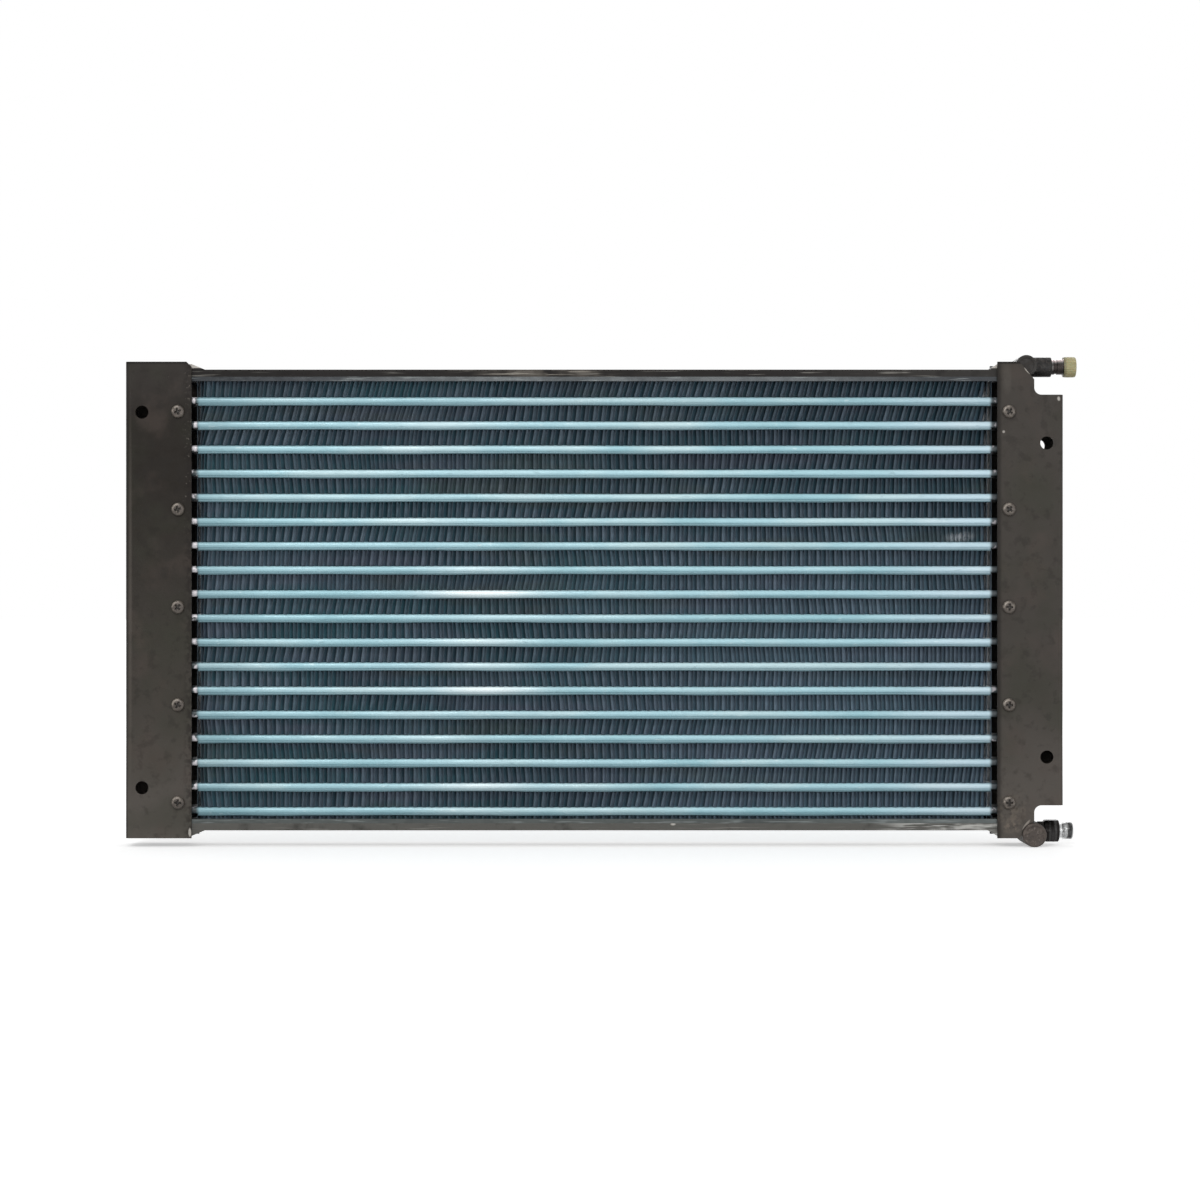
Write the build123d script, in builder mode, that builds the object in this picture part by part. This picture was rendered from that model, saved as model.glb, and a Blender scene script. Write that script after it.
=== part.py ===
from build123d import *
import os

# Air conditioning condenser for a work machine: a serpentine flat tube with rows of folded fins,
# held between two folded side brackets and two rails. Both refrigerant ports are at the right.
# Millimetres. +X runs to the ports, +Y to the back, +Z up.
# The origin is midway between the two bolt holes of the left bracket, on its front face.

os.makedirs("parts", exist_ok=True)

# Tube stack
tube_count = 18
tube_pitch = 22.0
tube_thickness = 6.0
tube_width = 44.0
end_bend_radius = 10.0

# Fin rows
fin_sheet = 0.8
fold_spacing = 36.0
fin_end_gap = 4.7
braze_gap = 0.05
bottom_fin_height = 6.0

# Core plates, which cup the outermost fin rows
plate_web = 2.5
plate_lip = 1.5
plate_lip_sheet = 1.5
fin_side_gap = 0.2

# Rails
rail_sheet = 2.0
rail_height = 6.5
rail_tuck = 8.0
ear_height = 5.0
left_ear_length = 12.0
right_ear_length = 7.0

# Side brackets
core_span = 734.0
bracket_width = 60.0
bracket_overhang = 7.0
bracket_sheet = 2.5
fold_radius = 4.0
seat_gap = 0.3
bolt_inset = 15.0
bolt_hole = 12.0
left_bolt_spacing = 342.0
right_bolt_spacing = 286.0
left_corner_cut = 4.5
wing_width = 26.5
notch_height = 30.0
notch_radius = 6.5
corner_cut_width = 13.5
corner_cut_height = 16.0

# Bracket screws, which run through the tube's bends on the left and between them on the right
screw_diameter = 6.0
screw_gap = 0.3
screw_head = 12.0
screw_head_height = 3.8
screw_head_taper = 25.0
screw_sides = 12
screw_inset_left = 12.0
screw_inset_right = 10.5
screw_every = 4
screw_stretch = 1.0
screw_drop = 1.5
nut_across_flats = 10.0
nut_height = 5.0
screw_tail = 2.0

# Headers, into which the ends of the flat tube are brazed
inlet_header_diameter = 19.0
outlet_header_diameter = 22.0
inlet_header_inset = 27.0
outlet_header_inset = 33.5
header_overhang = 5.0
header_wall = 3.0
header_drop = 3.0
header_clearance = 0.4
outlet_slot_offset = 2.5
tube_entry = 2.0
slot_gap = 0.1

# Both ports
port_bore = 9.0
thread_diameter = 15.9
outlet_port_rise = 2.0

# Inlet port
inlet_pipe_diameter = 18.0
inlet_pipe_end = 25.5
neck_diameter = 13.7
inlet_neck_length = 11.0
inlet_thread_length = 9.5
cap_diameter = 18.7
cap_end = 2.0
cap_gap = 0.1

# Outlet port
outlet_neck_diameter = 17.0
outlet_neck_end = 12.5
outlet_hex_flats = 19.5
outlet_hex_length = 13.5
undercut_diameter = 13.0
undercut_length = 3.5
outlet_thread_length = 9.2

# Places across the width
left_edge = -bolt_inset
left_inner = left_edge + bracket_width
right_inner = left_inner + core_span
right_edge = right_inner + bracket_width
right_bolt_x = right_edge - bolt_inset
column_edge = right_edge - wing_width
fin_left = left_inner + fin_end_gap
fin_right = right_inner - fin_end_gap
screw_x_left = left_inner - screw_inset_left
screw_x_right = right_inner + screw_inset_right
inlet_x = right_inner + inlet_header_inset
outlet_x = right_inner + outlet_header_inset
outlet_slot_x = outlet_x - outlet_slot_offset

# Places through the depth
plate_depth = tube_width + 2 * (fin_side_gap + plate_lip_sheet)
channel_gap = plate_depth + 2 * seat_gap
bracket_depth = channel_gap + 2 * bracket_sheet
middle = bracket_depth / 2
core_back = middle + tube_width / 2
plate_front = middle - plate_depth / 2
plate_back = middle + plate_depth / 2

# Places up the height
fin_height = tube_pitch - tube_thickness
core_top = (tube_count * tube_pitch + bottom_fin_height) / 2
rail_top = core_top + plate_web + rail_height
bracket_top = rail_top + bracket_overhang
wing_top = bracket_top - notch_height
bend_radius = tube_pitch / 2
first_tube = core_top - fin_height - tube_thickness / 2
last_tube = first_tube - (tube_count - 1) * tube_pitch
header_z = bracket_top - header_drop
inlet_entry = header_z - inlet_header_diameter / 2 + tube_entry
outlet_entry = outlet_header_diameter / 2 - tube_entry - header_z
outlet_port_z = outlet_port_rise - header_z
screw_middle = (first_tube + last_tube) / 2 - screw_drop
screw_pitch = screw_every * tube_pitch + screw_stretch
screw_count = (tube_count - 2) // screw_every + 1


def upright(depth):
    """The upright plane that faces the front, at this distance behind the bracket faces."""
    return Plane.XZ.offset(-depth)


# Serpentine tube: one flat extrusion, folded back and forth, with both ends turned into the headers
inlet_turn_x = inlet_x - end_bend_radius
inlet_turn_z = first_tube + end_bend_radius
outlet_turn_x = outlet_slot_x - end_bend_radius
outlet_turn_z = last_tube - end_bend_radius
with BuildPart() as serpentine_tube:
    with BuildSketch(upright(core_back)):
        with BuildLine():
            Line((inlet_x, inlet_entry), (inlet_x, inlet_turn_z))
            RadiusArc((inlet_x, inlet_turn_z), (inlet_turn_x, first_tube), end_bend_radius)
            for row in range(tube_count):
                height = first_tube - row * tube_pitch
                right_end = {0: inlet_turn_x, tube_count - 1: outlet_turn_x}.get(row, screw_x_right)
                Line((screw_x_left, height), (right_end, height))
                if row < tube_count - 1:
                    side = screw_x_right if row % 2 else screw_x_left
                    bulge = bend_radius if row % 2 else -bend_radius
                    ThreePointArc(
                        (side, height),
                        (side + bulge, height - bend_radius),
                        (side, height - tube_pitch),
                    )
            RadiusArc((outlet_turn_x, last_tube), (outlet_slot_x, outlet_turn_z), end_bend_radius)
            Line((outlet_slot_x, outlet_turn_z), (outlet_slot_x, outlet_entry))
        trace(line_width=tube_thickness)
    extrude(amount=tube_width)
serpentine_tube.part.label = "serpentine_tube"
export_step(serpentine_tube.part, "parts/serpentine_tube.step")


# Fin rows: a strip of thin sheet folded to and fro, brazed at each fold to the tube above and below
def fin_outline(height):
    """Zigzag outline of one folded strip, with its lower left corner at the origin."""
    length = fin_right - fin_left
    folds = round(length / fold_spacing)
    step = length / folds
    rise = height - 2 * braze_gap
    slope = (step ** 2 + rise ** 2) ** 0.5 / step
    upright_sheet = fin_sheet * slope
    lower = [(step * fold, (fold % 2) * (rise - upright_sheet)) for fold in range(folds + 1)]
    upper = [(x, z + upright_sheet) for x, z in reversed(lower)]
    return lower + upper


for row in range(tube_count + 1):
    row_height = bottom_fin_height if row == tube_count else fin_height
    row_base = core_top - row * tube_pitch - row_height + braze_gap
    with BuildPart() as fin_row:
        with BuildSketch(upright(core_back)):
            with BuildLine():
                Polyline([(fin_left + x, row_base + z) for x, z in fin_outline(row_height)], close=True)
            make_face()
        extrude(amount=tube_width)
    fin_row.part.label = f"fin_row_{row + 1:02d}"
    export_step(fin_row.part, f"parts/fin_row_{row + 1:02d}.step")

# Core plates: shallow channels that cup the outermost fin rows and lie against the rails
with BuildPart() as top_core_plate:
    with BuildSketch(Plane.YZ.offset(left_inner - rail_tuck)):
        with BuildLine():
            Polyline(
                (plate_front, core_top - plate_lip),
                (plate_front, core_top + plate_web),
                (plate_back, core_top + plate_web),
                (plate_back, core_top - plate_lip),
                (plate_back - plate_lip_sheet, core_top - plate_lip),
                (plate_back - plate_lip_sheet, core_top),
                (plate_front + plate_lip_sheet, core_top),
                (plate_front + plate_lip_sheet, core_top - plate_lip),
                close=True,
            )
        make_face()
    extrude(amount=core_span + 2 * rail_tuck)
top_core_plate.part.label = "top_core_plate"
export_step(top_core_plate.part, "parts/top_core_plate.step")

with BuildPart() as bottom_core_plate:
    mirror(top_core_plate.part, about=Plane.XY)
bottom_core_plate.part.label = "bottom_core_plate"
export_step(bottom_core_plate.part, "parts/bottom_core_plate.step")


# Rails: channels over the core plates, with ends that rise to meet the bracket ends
def rail_outline(lowered):
    """Front outline of the top rail, lowered by this much and with its foot lowered by twice as much."""
    foot = core_top + plate_web - 2 * lowered
    top = rail_top - lowered
    ear_top = top + ear_height
    return [
        (left_inner - rail_tuck, foot),
        (left_inner - rail_tuck, ear_top),
        (left_inner, ear_top),
        (left_inner + left_ear_length, top),
        (right_inner - right_ear_length, top),
        (right_inner, ear_top),
        (right_inner + rail_tuck, ear_top),
        (right_inner + rail_tuck, foot),
    ]


with BuildPart() as top_rail:
    with BuildSketch(upright(plate_back)):
        with BuildLine():
            Polyline(rail_outline(0), close=True)
        make_face()
    extrude(amount=plate_depth)
    with BuildSketch(upright(plate_back - rail_sheet)):
        with BuildLine():
            Polyline(rail_outline(rail_sheet), close=True)
        make_face()
    extrude(amount=plate_depth - 2 * rail_sheet, mode=Mode.SUBTRACT)
top_rail.part.label = "top_rail"
export_step(top_rail.part, "parts/top_rail.step")

with BuildPart() as bottom_rail:
    mirror(top_rail.part, about=Plane.XY)
bottom_rail.part.label = "bottom_rail"
export_step(bottom_rail.part, "parts/bottom_rail.step")


# Brackets: folded channels that open towards the core
def channel_section(web_x, mouth_x):
    """Section of a bracket on the ground plane, with its web at web_x and its mouth at mouth_x."""
    web_side = 0 if mouth_x > web_x else -1
    inner_web = web_x + bracket_sheet * (1 if mouth_x > web_x else -1)
    with BuildSketch(mode=Mode.PRIVATE) as hollow:
        with Locations(((inner_web + mouth_x) / 2, middle)):
            Rectangle(abs(mouth_x - inner_web), channel_gap)
        fillet(hollow.vertices().group_by(Axis.X)[web_side], fold_radius - bracket_sheet)
    with BuildSketch(mode=Mode.PRIVATE) as section:
        with Locations(((web_x + mouth_x) / 2, middle)):
            Rectangle(abs(mouth_x - web_x), bracket_depth)
        fillet(section.vertices().group_by(Axis.X)[web_side], fold_radius)
        add(hollow.sketch, mode=Mode.SUBTRACT)
    return section.sketch


left_section = channel_section(left_edge, left_inner)
with BuildPart() as left_bracket:
    with BuildSketch(Plane.XY.offset(-bracket_top)):
        add(left_section)
    extrude(amount=2 * bracket_top)
    with BuildSketch(upright(bracket_depth)):
        with BuildLine():
            Polyline(
                (left_inner - left_corner_cut, bracket_top),
                (left_inner, bracket_top),
                (left_inner, bracket_top - left_corner_cut),
                close=True,
            )
        make_face()
        with Locations((screw_x_left, screw_middle)):
            with GridLocations(0, screw_pitch, 1, screw_count):
                RegularPolygon(screw_diameter / 2 + screw_gap, screw_sides)
    extrude(amount=bracket_depth, mode=Mode.SUBTRACT)
    with BuildSketch(upright(bracket_sheet)):
        with GridLocations(0, left_bolt_spacing, 1, 2):
            Circle(bolt_hole / 2)
    extrude(amount=bracket_sheet, mode=Mode.SUBTRACT)
left_bracket.part.label = "left_bracket"
export_step(left_bracket.part, "parts/left_bracket.step")

right_section = channel_section(right_edge, right_inner)
with BuildPart() as right_bracket:
    with BuildSketch(Plane.XY.offset(-bracket_top)):
        add(right_section)
    extrude(amount=2 * bracket_top)
    with BuildSketch(upright(bracket_depth)) as cuts:
        with BuildLine():
            Polyline(
                (right_edge + fold_radius, wing_top),
                (column_edge, wing_top),
                (column_edge, bracket_top - corner_cut_height),
                (column_edge - corner_cut_width, bracket_top),
                (right_edge + fold_radius, bracket_top),
                close=True,
            )
        make_face()
        fillet(cuts.vertices().group_by(Axis.Y)[0].sort_by(Axis.X)[0], notch_radius)
        mirror(about=Plane.XZ)
        with Locations((screw_x_right, screw_middle)):
            with GridLocations(0, screw_pitch, 1, screw_count):
                RegularPolygon(screw_diameter / 2 + screw_gap, screw_sides)
    extrude(amount=bracket_depth, mode=Mode.SUBTRACT)
    with BuildSketch(upright(bracket_sheet)):
        with Locations((right_bolt_x, 0)):
            with GridLocations(0, right_bolt_spacing, 1, 2):
                Circle(bolt_hole / 2)
        with Locations((outlet_x, -header_z)):
            Circle(outlet_header_diameter / 2 + header_clearance)
    extrude(amount=bracket_sheet, mode=Mode.SUBTRACT)
    with BuildSketch(upright(bracket_depth)):
        with Locations((right_bolt_x, right_bolt_spacing / 2)):
            Circle(bolt_hole / 2)
        with Locations((inlet_x, header_z)):
            Circle(inlet_header_diameter / 2 + header_clearance)
    extrude(amount=bracket_sheet, mode=Mode.SUBTRACT)
right_bracket.part.label = "right_bracket"
export_step(right_bracket.part, "parts/right_bracket.step")

# Bracket screws: pan heads at the front, shanks right through both walls of the channel.
# These small rounds have flat sides, one count for the shank, its holes and its nut.
screw_length = bracket_depth + nut_height + screw_tail
screw_middles = [(screw_x_left, screw_middle), (screw_x_right, screw_middle)]
with BuildPart() as bracket_screws:
    with BuildSketch(upright(screw_length)):
        with Locations(screw_middles):
            with GridLocations(0, screw_pitch, 1, screw_count):
                RegularPolygon(screw_diameter / 2, screw_sides)
    extrude(amount=screw_length)
    with BuildSketch(upright(0)):
        with Locations(screw_middles):
            with GridLocations(0, screw_pitch, 1, screw_count):
                RegularPolygon(screw_head / 2, screw_sides)
    extrude(amount=screw_head_height, taper=screw_head_taper)
bracket_screws.part.label = "bracket_screws"
export_step(bracket_screws.part, "parts/bracket_screws.step")

with BuildPart() as screw_nuts:
    with BuildSketch(upright(bracket_depth + nut_height)):
        with Locations(screw_middles):
            with GridLocations(0, screw_pitch, 1, screw_count):
                RegularPolygon(nut_across_flats / 2, 6, major_radius=False)
                RegularPolygon(screw_diameter / 2, screw_sides, mode=Mode.SUBTRACT)
    extrude(amount=nut_height)
screw_nuts.part.label = "screw_nuts"
export_step(screw_nuts.part, "parts/screw_nuts.step")

# Headers: short closed drums across the core's depth, slotted for the tube and bored for the port.
# The inlet's drum stands back against the rear wall's cut-out and the outlet's against the front one.
header_length = tube_width + 2 * header_overhang
inlet_back = bracket_sheet + seat_gap + header_length
outlet_back = bracket_depth - bracket_sheet - seat_gap
inlet_sizes = (inlet_x, header_z, inlet_header_diameter / 2, inlet_x, header_z, 1)
outlet_sizes = (outlet_x, -header_z, outlet_header_diameter / 2, outlet_slot_x, outlet_port_z, -1)
for name, back, sizes in (
    ("inlet_header", inlet_back, inlet_sizes),
    ("outlet_header", outlet_back, outlet_sizes),
):
    x, z, radius, slot_x, port_z, side = sizes
    with BuildPart() as header:
        with BuildSketch(upright(back)):
            with Locations((x, z)):
                Circle(radius)
        extrude(amount=header_length)
        with BuildSketch(upright(back - header_wall)):
            with Locations((x, z)):
                Circle(radius - header_wall)
        extrude(amount=header_length - 2 * header_wall, mode=Mode.SUBTRACT)
        with BuildSketch(Plane.XY.offset(z - side * radius)):
            with Locations((slot_x, middle)):
                Rectangle(tube_thickness + 2 * slot_gap, tube_width + 2 * slot_gap)
        extrude(amount=side * (header_wall + tube_entry), mode=Mode.SUBTRACT)
        with BuildSketch(Plane.YZ.offset(x)):
            with Locations((middle, port_z)):
                Circle(port_bore / 2)
        extrude(amount=radius, mode=Mode.SUBTRACT)
    header.part.label = name
    export_step(header.part, f"parts/{name}.step")

# Inlet pipe: a thick stub, coped to the header's round side
inlet_axis = Plane((inlet_x, middle, header_z), x_dir=(0, 1, 0), z_dir=(1, 0, 0))
with BuildPart() as inlet_pipe:
    with BuildSketch(inlet_axis):
        Circle(inlet_pipe_diameter / 2)
        Circle(port_bore / 2, mode=Mode.SUBTRACT)
    extrude(amount=inlet_pipe_end)
    with Locations(Location((inlet_x, middle, header_z), (90, 0, 0))):
        Cylinder(inlet_header_diameter / 2, header_length, mode=Mode.SUBTRACT)
inlet_pipe.part.label = "inlet_pipe"
export_step(inlet_pipe.part, "parts/inlet_pipe.step")

# Inlet fitting: a plain neck and a threaded end under the cap
neck_start = inlet_x + inlet_pipe_end
neck_end = neck_start + inlet_neck_length
inlet_thread_end = neck_end + inlet_thread_length
with BuildPart() as inlet_fitting:
    with BuildSketch(upright(middle)):
        with BuildLine():
            Polyline(
                (neck_start, header_z + port_bore / 2),
                (neck_start, header_z + neck_diameter / 2),
                (neck_end, header_z + neck_diameter / 2),
                (neck_end, header_z + thread_diameter / 2),
                (inlet_thread_end, header_z + thread_diameter / 2),
                (inlet_thread_end, header_z + port_bore / 2),
                close=True,
            )
        make_face()
    revolve(axis=Axis((inlet_x, middle, header_z), (1, 0, 0)))
inlet_fitting.part.label = "inlet_fitting"
export_step(inlet_fitting.part, "parts/inlet_fitting.step")

# Inlet cap: a moulded dust cap pushed over the thread
cap_inner = thread_diameter / 2 + cap_gap
cap_start = neck_end + cap_gap
cap_floor = inlet_thread_end + cap_gap
with BuildPart() as inlet_cap:
    with BuildSketch(upright(middle)):
        with BuildLine():
            Polyline(
                (cap_start, header_z + cap_inner),
                (cap_start, header_z + cap_diameter / 2),
                (cap_floor + cap_end, header_z + cap_diameter / 2),
                (cap_floor + cap_end, header_z),
                (cap_floor, header_z),
                (cap_floor, header_z + cap_inner),
                close=True,
            )
        make_face()
    revolve(axis=Axis((inlet_x, middle, header_z), (1, 0, 0)))
inlet_cap.part.label = "inlet_cap"
export_step(inlet_cap.part, "parts/inlet_cap.step")

# Outlet pipe: a short neck, coped to the header's round side
outlet_axis = Plane((outlet_x, middle, outlet_port_z), x_dir=(0, 1, 0), z_dir=(1, 0, 0))
with BuildPart() as outlet_pipe:
    with BuildSketch(outlet_axis):
        Circle(outlet_neck_diameter / 2)
        Circle(port_bore / 2, mode=Mode.SUBTRACT)
    extrude(amount=outlet_neck_end)
    with Locations(Location((outlet_x, middle, -header_z), (90, 0, 0))):
        Cylinder(outlet_header_diameter / 2, header_length, mode=Mode.SUBTRACT)
outlet_pipe.part.label = "outlet_pipe"
export_step(outlet_pipe.part, "parts/outlet_pipe.step")

# Outlet fitting: a hexagon for the spanner, an undercut and a threaded male end
thread_start = outlet_neck_end + outlet_hex_length + undercut_length
with BuildPart() as outlet_fitting:
    with BuildSketch(outlet_axis.offset(outlet_neck_end)):
        RegularPolygon(outlet_hex_flats / 2, 6, major_radius=False)
    extrude(amount=outlet_hex_length)
    with BuildSketch(outlet_axis.offset(outlet_neck_end + outlet_hex_length)):
        Circle(undercut_diameter / 2)
    extrude(amount=undercut_length)
    with BuildSketch(outlet_axis.offset(thread_start)):
        Circle(thread_diameter / 2)
    extrude(amount=outlet_thread_length)
    with BuildSketch(outlet_axis.offset(thread_start + outlet_thread_length)):
        Circle(port_bore / 2)
    extrude(amount=outlet_neck_end - thread_start - outlet_thread_length, mode=Mode.SUBTRACT)
outlet_fitting.part.label = "outlet_fitting"
export_step(outlet_fitting.part, "parts/outlet_fitting.step")
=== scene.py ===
"""Looks of an air conditioning condenser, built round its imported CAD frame.

A serpentine flat tube, its folded fins, the fasteners and both ports are worked out as whole-array
surfaces. The folded brackets, the rails and the core plates keep their CAD shapes and get painted finishes.
Mesh arrays are in millimetres until a piece is written, which turns them to metres.
"""
import logging
from dataclasses import dataclass, field
from enum import Enum
from math import pi, radians, tau
from typing import Any

import bpy
import numpy as np
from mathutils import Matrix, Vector


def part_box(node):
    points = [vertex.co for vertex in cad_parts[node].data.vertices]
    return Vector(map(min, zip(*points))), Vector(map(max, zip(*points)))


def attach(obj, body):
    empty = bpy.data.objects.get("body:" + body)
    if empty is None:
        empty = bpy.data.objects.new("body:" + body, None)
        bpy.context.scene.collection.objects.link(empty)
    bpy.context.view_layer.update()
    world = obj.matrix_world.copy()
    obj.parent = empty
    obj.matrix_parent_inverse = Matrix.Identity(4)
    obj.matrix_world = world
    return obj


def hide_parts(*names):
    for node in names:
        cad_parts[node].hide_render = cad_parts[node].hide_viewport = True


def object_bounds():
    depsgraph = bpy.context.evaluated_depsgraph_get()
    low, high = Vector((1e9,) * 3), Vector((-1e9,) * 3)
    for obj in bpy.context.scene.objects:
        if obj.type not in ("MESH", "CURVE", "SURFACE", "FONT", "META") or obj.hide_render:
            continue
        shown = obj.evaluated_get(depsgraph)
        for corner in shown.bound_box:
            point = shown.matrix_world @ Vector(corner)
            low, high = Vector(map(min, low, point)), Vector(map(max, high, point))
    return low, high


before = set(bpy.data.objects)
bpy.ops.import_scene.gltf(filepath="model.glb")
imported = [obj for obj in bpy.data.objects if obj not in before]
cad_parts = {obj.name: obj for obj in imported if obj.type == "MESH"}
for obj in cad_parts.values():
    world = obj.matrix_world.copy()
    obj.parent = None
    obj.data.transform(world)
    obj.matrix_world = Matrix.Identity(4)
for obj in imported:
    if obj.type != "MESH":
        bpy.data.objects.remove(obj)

LOG = logging.getLogger("condenser")
Tree = bpy.types.NodeTree
Socket = bpy.types.NodeSocket
Array = np.ndarray
MM = 0.001
CAD_BOX = [list(corner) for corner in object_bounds()]
# Places of a mix node's colours among its inputs and outputs
MIX_A, MIX_B, MIX_COLOUR = 6, 7, 2
# X of the view's middle, and the size of one of its 1200 pixels on the front plane, in mm
FRONT_MIDDLE_X, PHOTO_MM = 417.1, 0.912
# X and Z of the ten screws, in mm: five down each bracket
SCREW_SPOTS = [(x, 171.5 - 89.0 * row) for x in (33.0, 789.5) for row in range(5)]


class Direction(Enum):
    """Where a turned piece's axis points: unit vectors along it, and twice across it."""

    RIGHT = ((1, 0, 0), (0, 1, 0), (0, 0, 1))
    BACK = ((0, 1, 0), (1, 0, 0), (0, 0, 1))


# Colour and node helpers


def linear(hex_colour: str) -> tuple[float, float, float, float]:
    """Turns a colour to linear light.

    Args:
        hex_colour: An sRGB colour such as "#3A3733".

    Returns:
        Red, green, blue by the sRGB curve, and an alpha of 1.
    """
    channels = np.array([int(hex_colour[at:at + 2], 16) for at in (1, 3, 5)]) / 255
    curved = np.where(channels <= 0.04045, channels / 12.92, ((channels + 0.055) / 1.055) ** 2.4)
    return (*curved.tolist(), 1.0)


def add_node(
    tree: Tree,
    kind: str,
    settings: dict[Any, Any] | None = None,
    links: dict[Any, Socket] | None = None,
) -> bpy.types.Node:
    """Adds one shader node.

    Args:
        tree: The node tree that it joins.
        kind: Blender's name for the node's type.
        settings: Values by property name, or by the name or number of an input.
        links: Output sockets by the name or number of the input that each feeds.

    Returns:
        The new node.
    """
    node = tree.nodes.new(kind)
    for name, value in (settings or {}).items():
        if isinstance(name, str) and hasattr(node, name):
            setattr(node, name, value)
        else:
            node.inputs[name].default_value = value
    for name, socket in (links or {}).items():
        tree.links.new(socket, node.inputs[name])
    return node


def smooth_ramp(start: float, end: float) -> dict[str, Any]:
    """Settings of a Map Range node that gives 0 at start, 1 at end and a smooth step between them."""
    return {"interpolation_type": "SMOOTHSTEP", "From Min": start, "From Max": end}


def photo_place(column: float, row: float) -> tuple[float, float]:
    """Place on the front plane, in mm, of a point of the 1200 px view whose middle is (600, 600)."""
    return FRONT_MIDDLE_X + (column - 600) * PHOTO_MM, (600 - row) * PHOTO_MM


# Masks: each one fills in nodes that give a value from 0 to 1 over the surface


class Mask:
    """Anything that can be laid over a finish as a value from 0 to 1."""

    def value(self, tree: Tree, place: Socket) -> Socket:
        """Gives the mask's output socket, from the surface's place in metres."""
        raise NotImplementedError


@dataclass(frozen=True)
class Patches(Mask):
    """Soft patches: noise of a real size, drawn out along an axis if wanted, and cut between two levels."""

    size_mm: float
    low: float = 0.4
    high: float = 0.6
    stretch: tuple[float, float, float] = (1.0, 1.0, 1.0)
    detail: float = 3.0
    shift: float = 0.0

    def value(self, tree: Tree, place: Socket) -> Socket:
        """Noise of the scaled place, through a smooth step."""
        scale = tuple(1 / (MM * self.size_mm * length) for length in self.stretch)
        moved = add_node(
            tree, "ShaderNodeMapping", {"Location": (self.shift,) * 3, "Scale": scale}, {"Vector": place}
        )
        noise = add_node(
            tree, "ShaderNodeTexNoise", {"Scale": 1.0, "Detail": self.detail}, {"Vector": moved.outputs[0]}
        )
        step = smooth_ramp(self.low, self.high)
        return add_node(tree, "ShaderNodeMapRange", step, {"Value": noise.outputs[0]}).outputs[0]


@dataclass(frozen=True)
class Spot(Mask):
    """A soft oval on the front plane: 1 in its middle, 0 outside its rim, and as deep as is said."""

    middle: tuple[float, float]
    half: tuple[float, float]
    turn: float = 0.0
    hard: float = 0.3
    depth_mm: tuple[float, float] = (26.5, 200.0)

    def value(self, tree: Tree, place: Socket) -> Socket:
        """Distance from the middle, as a share of the oval's half lengths, through a smooth step."""
        local = add_node(
            tree,
            "ShaderNodeMapping",
            {
                "vector_type": "TEXTURE",
                "Location": (self.middle[0] * MM, self.depth_mm[0] * MM, self.middle[1] * MM),
                "Rotation": (0.0, -radians(self.turn), 0.0),
                "Scale": (self.half[0] * MM, self.depth_mm[1] * MM, self.half[1] * MM),
            },
            {"Vector": place},
        )
        length = add_node(tree, "ShaderNodeVectorMath", {"operation": "LENGTH"}, {0: local.outputs[0]})
        step = smooth_ramp(1.0, self.hard)
        return add_node(tree, "ShaderNodeMapRange", step, {"Value": length.outputs["Value"]}).outputs[0]


@dataclass(frozen=True)
class Slope(Mask):
    """A steady change along X, Y or Z: 0 at the first place, 1 at the second, in mm."""

    axis: str
    start_mm: float
    end_mm: float

    def value(self, tree: Tree, place: Socket) -> Socket:
        """One coordinate, through a smooth step."""
        parts = add_node(tree, "ShaderNodeSeparateXYZ", links={0: place})
        step = smooth_ramp(self.start_mm * MM, self.end_mm * MM)
        return add_node(tree, "ShaderNodeMapRange", step, {"Value": parts.outputs[self.axis]}).outputs[0]


@dataclass(frozen=True)
class RowHeight(Mask):
    """How high a point lies between two runs: 0 on the lower one's axis, 1 on the upper one's."""

    start: float
    end: float
    pitch_mm: float = 22.0
    run_mm: float = 182.0

    def value(self, tree: Tree, place: Socket) -> Socket:
        """The fraction of (Z less one run's height) over the pitch, through a smooth step."""
        parts = add_node(tree, "ShaderNodeSeparateXYZ", links={0: place})
        scaled = {"operation": "MULTIPLY_ADD", 1: 1 / (self.pitch_mm * MM), 2: -self.run_mm / self.pitch_mm}
        pitches = add_node(tree, "ShaderNodeMath", scaled, {0: parts.outputs["Z"]})
        share = add_node(tree, "ShaderNodeMath", {"operation": "FRACT"}, {0: pitches.outputs[0]})
        step = smooth_ramp(self.start, self.end)
        return add_node(tree, "ShaderNodeMapRange", step, {"Value": share.outputs[0]}).outputs[0]


@dataclass(frozen=True)
class Facing(Mask):
    """How far the surface faces along X, Y or Z, between two shares of its unit normal."""

    axis: str
    start: float
    end: float

    def value(self, tree: Tree, place: Socket) -> Socket:
        """One part of the surface's own normal, through a smooth step."""
        normal = add_node(tree, "ShaderNodeNewGeometry").outputs["Normal"]
        parts = add_node(tree, "ShaderNodeSeparateXYZ", links={0: normal})
        step = smooth_ramp(self.start, self.end)
        return add_node(tree, "ShaderNodeMapRange", step, {"Value": parts.outputs[self.axis]}).outputs[0]


@dataclass(frozen=True)
class Marked(Mask):
    """A value that the mesh carries on its points."""

    attribute: str
    start: float = 0.0
    end: float = 1.0

    def value(self, tree: Tree, place: Socket) -> Socket:
        """The mesh's own value, between two levels."""
        mark = add_node(tree, "ShaderNodeAttribute", {"attribute_name": self.attribute})
        step = {"From Min": self.start, "From Max": self.end}
        return add_node(tree, "ShaderNodeMapRange", step, {"Value": mark.outputs["Fac"]}).outputs[0]


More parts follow.
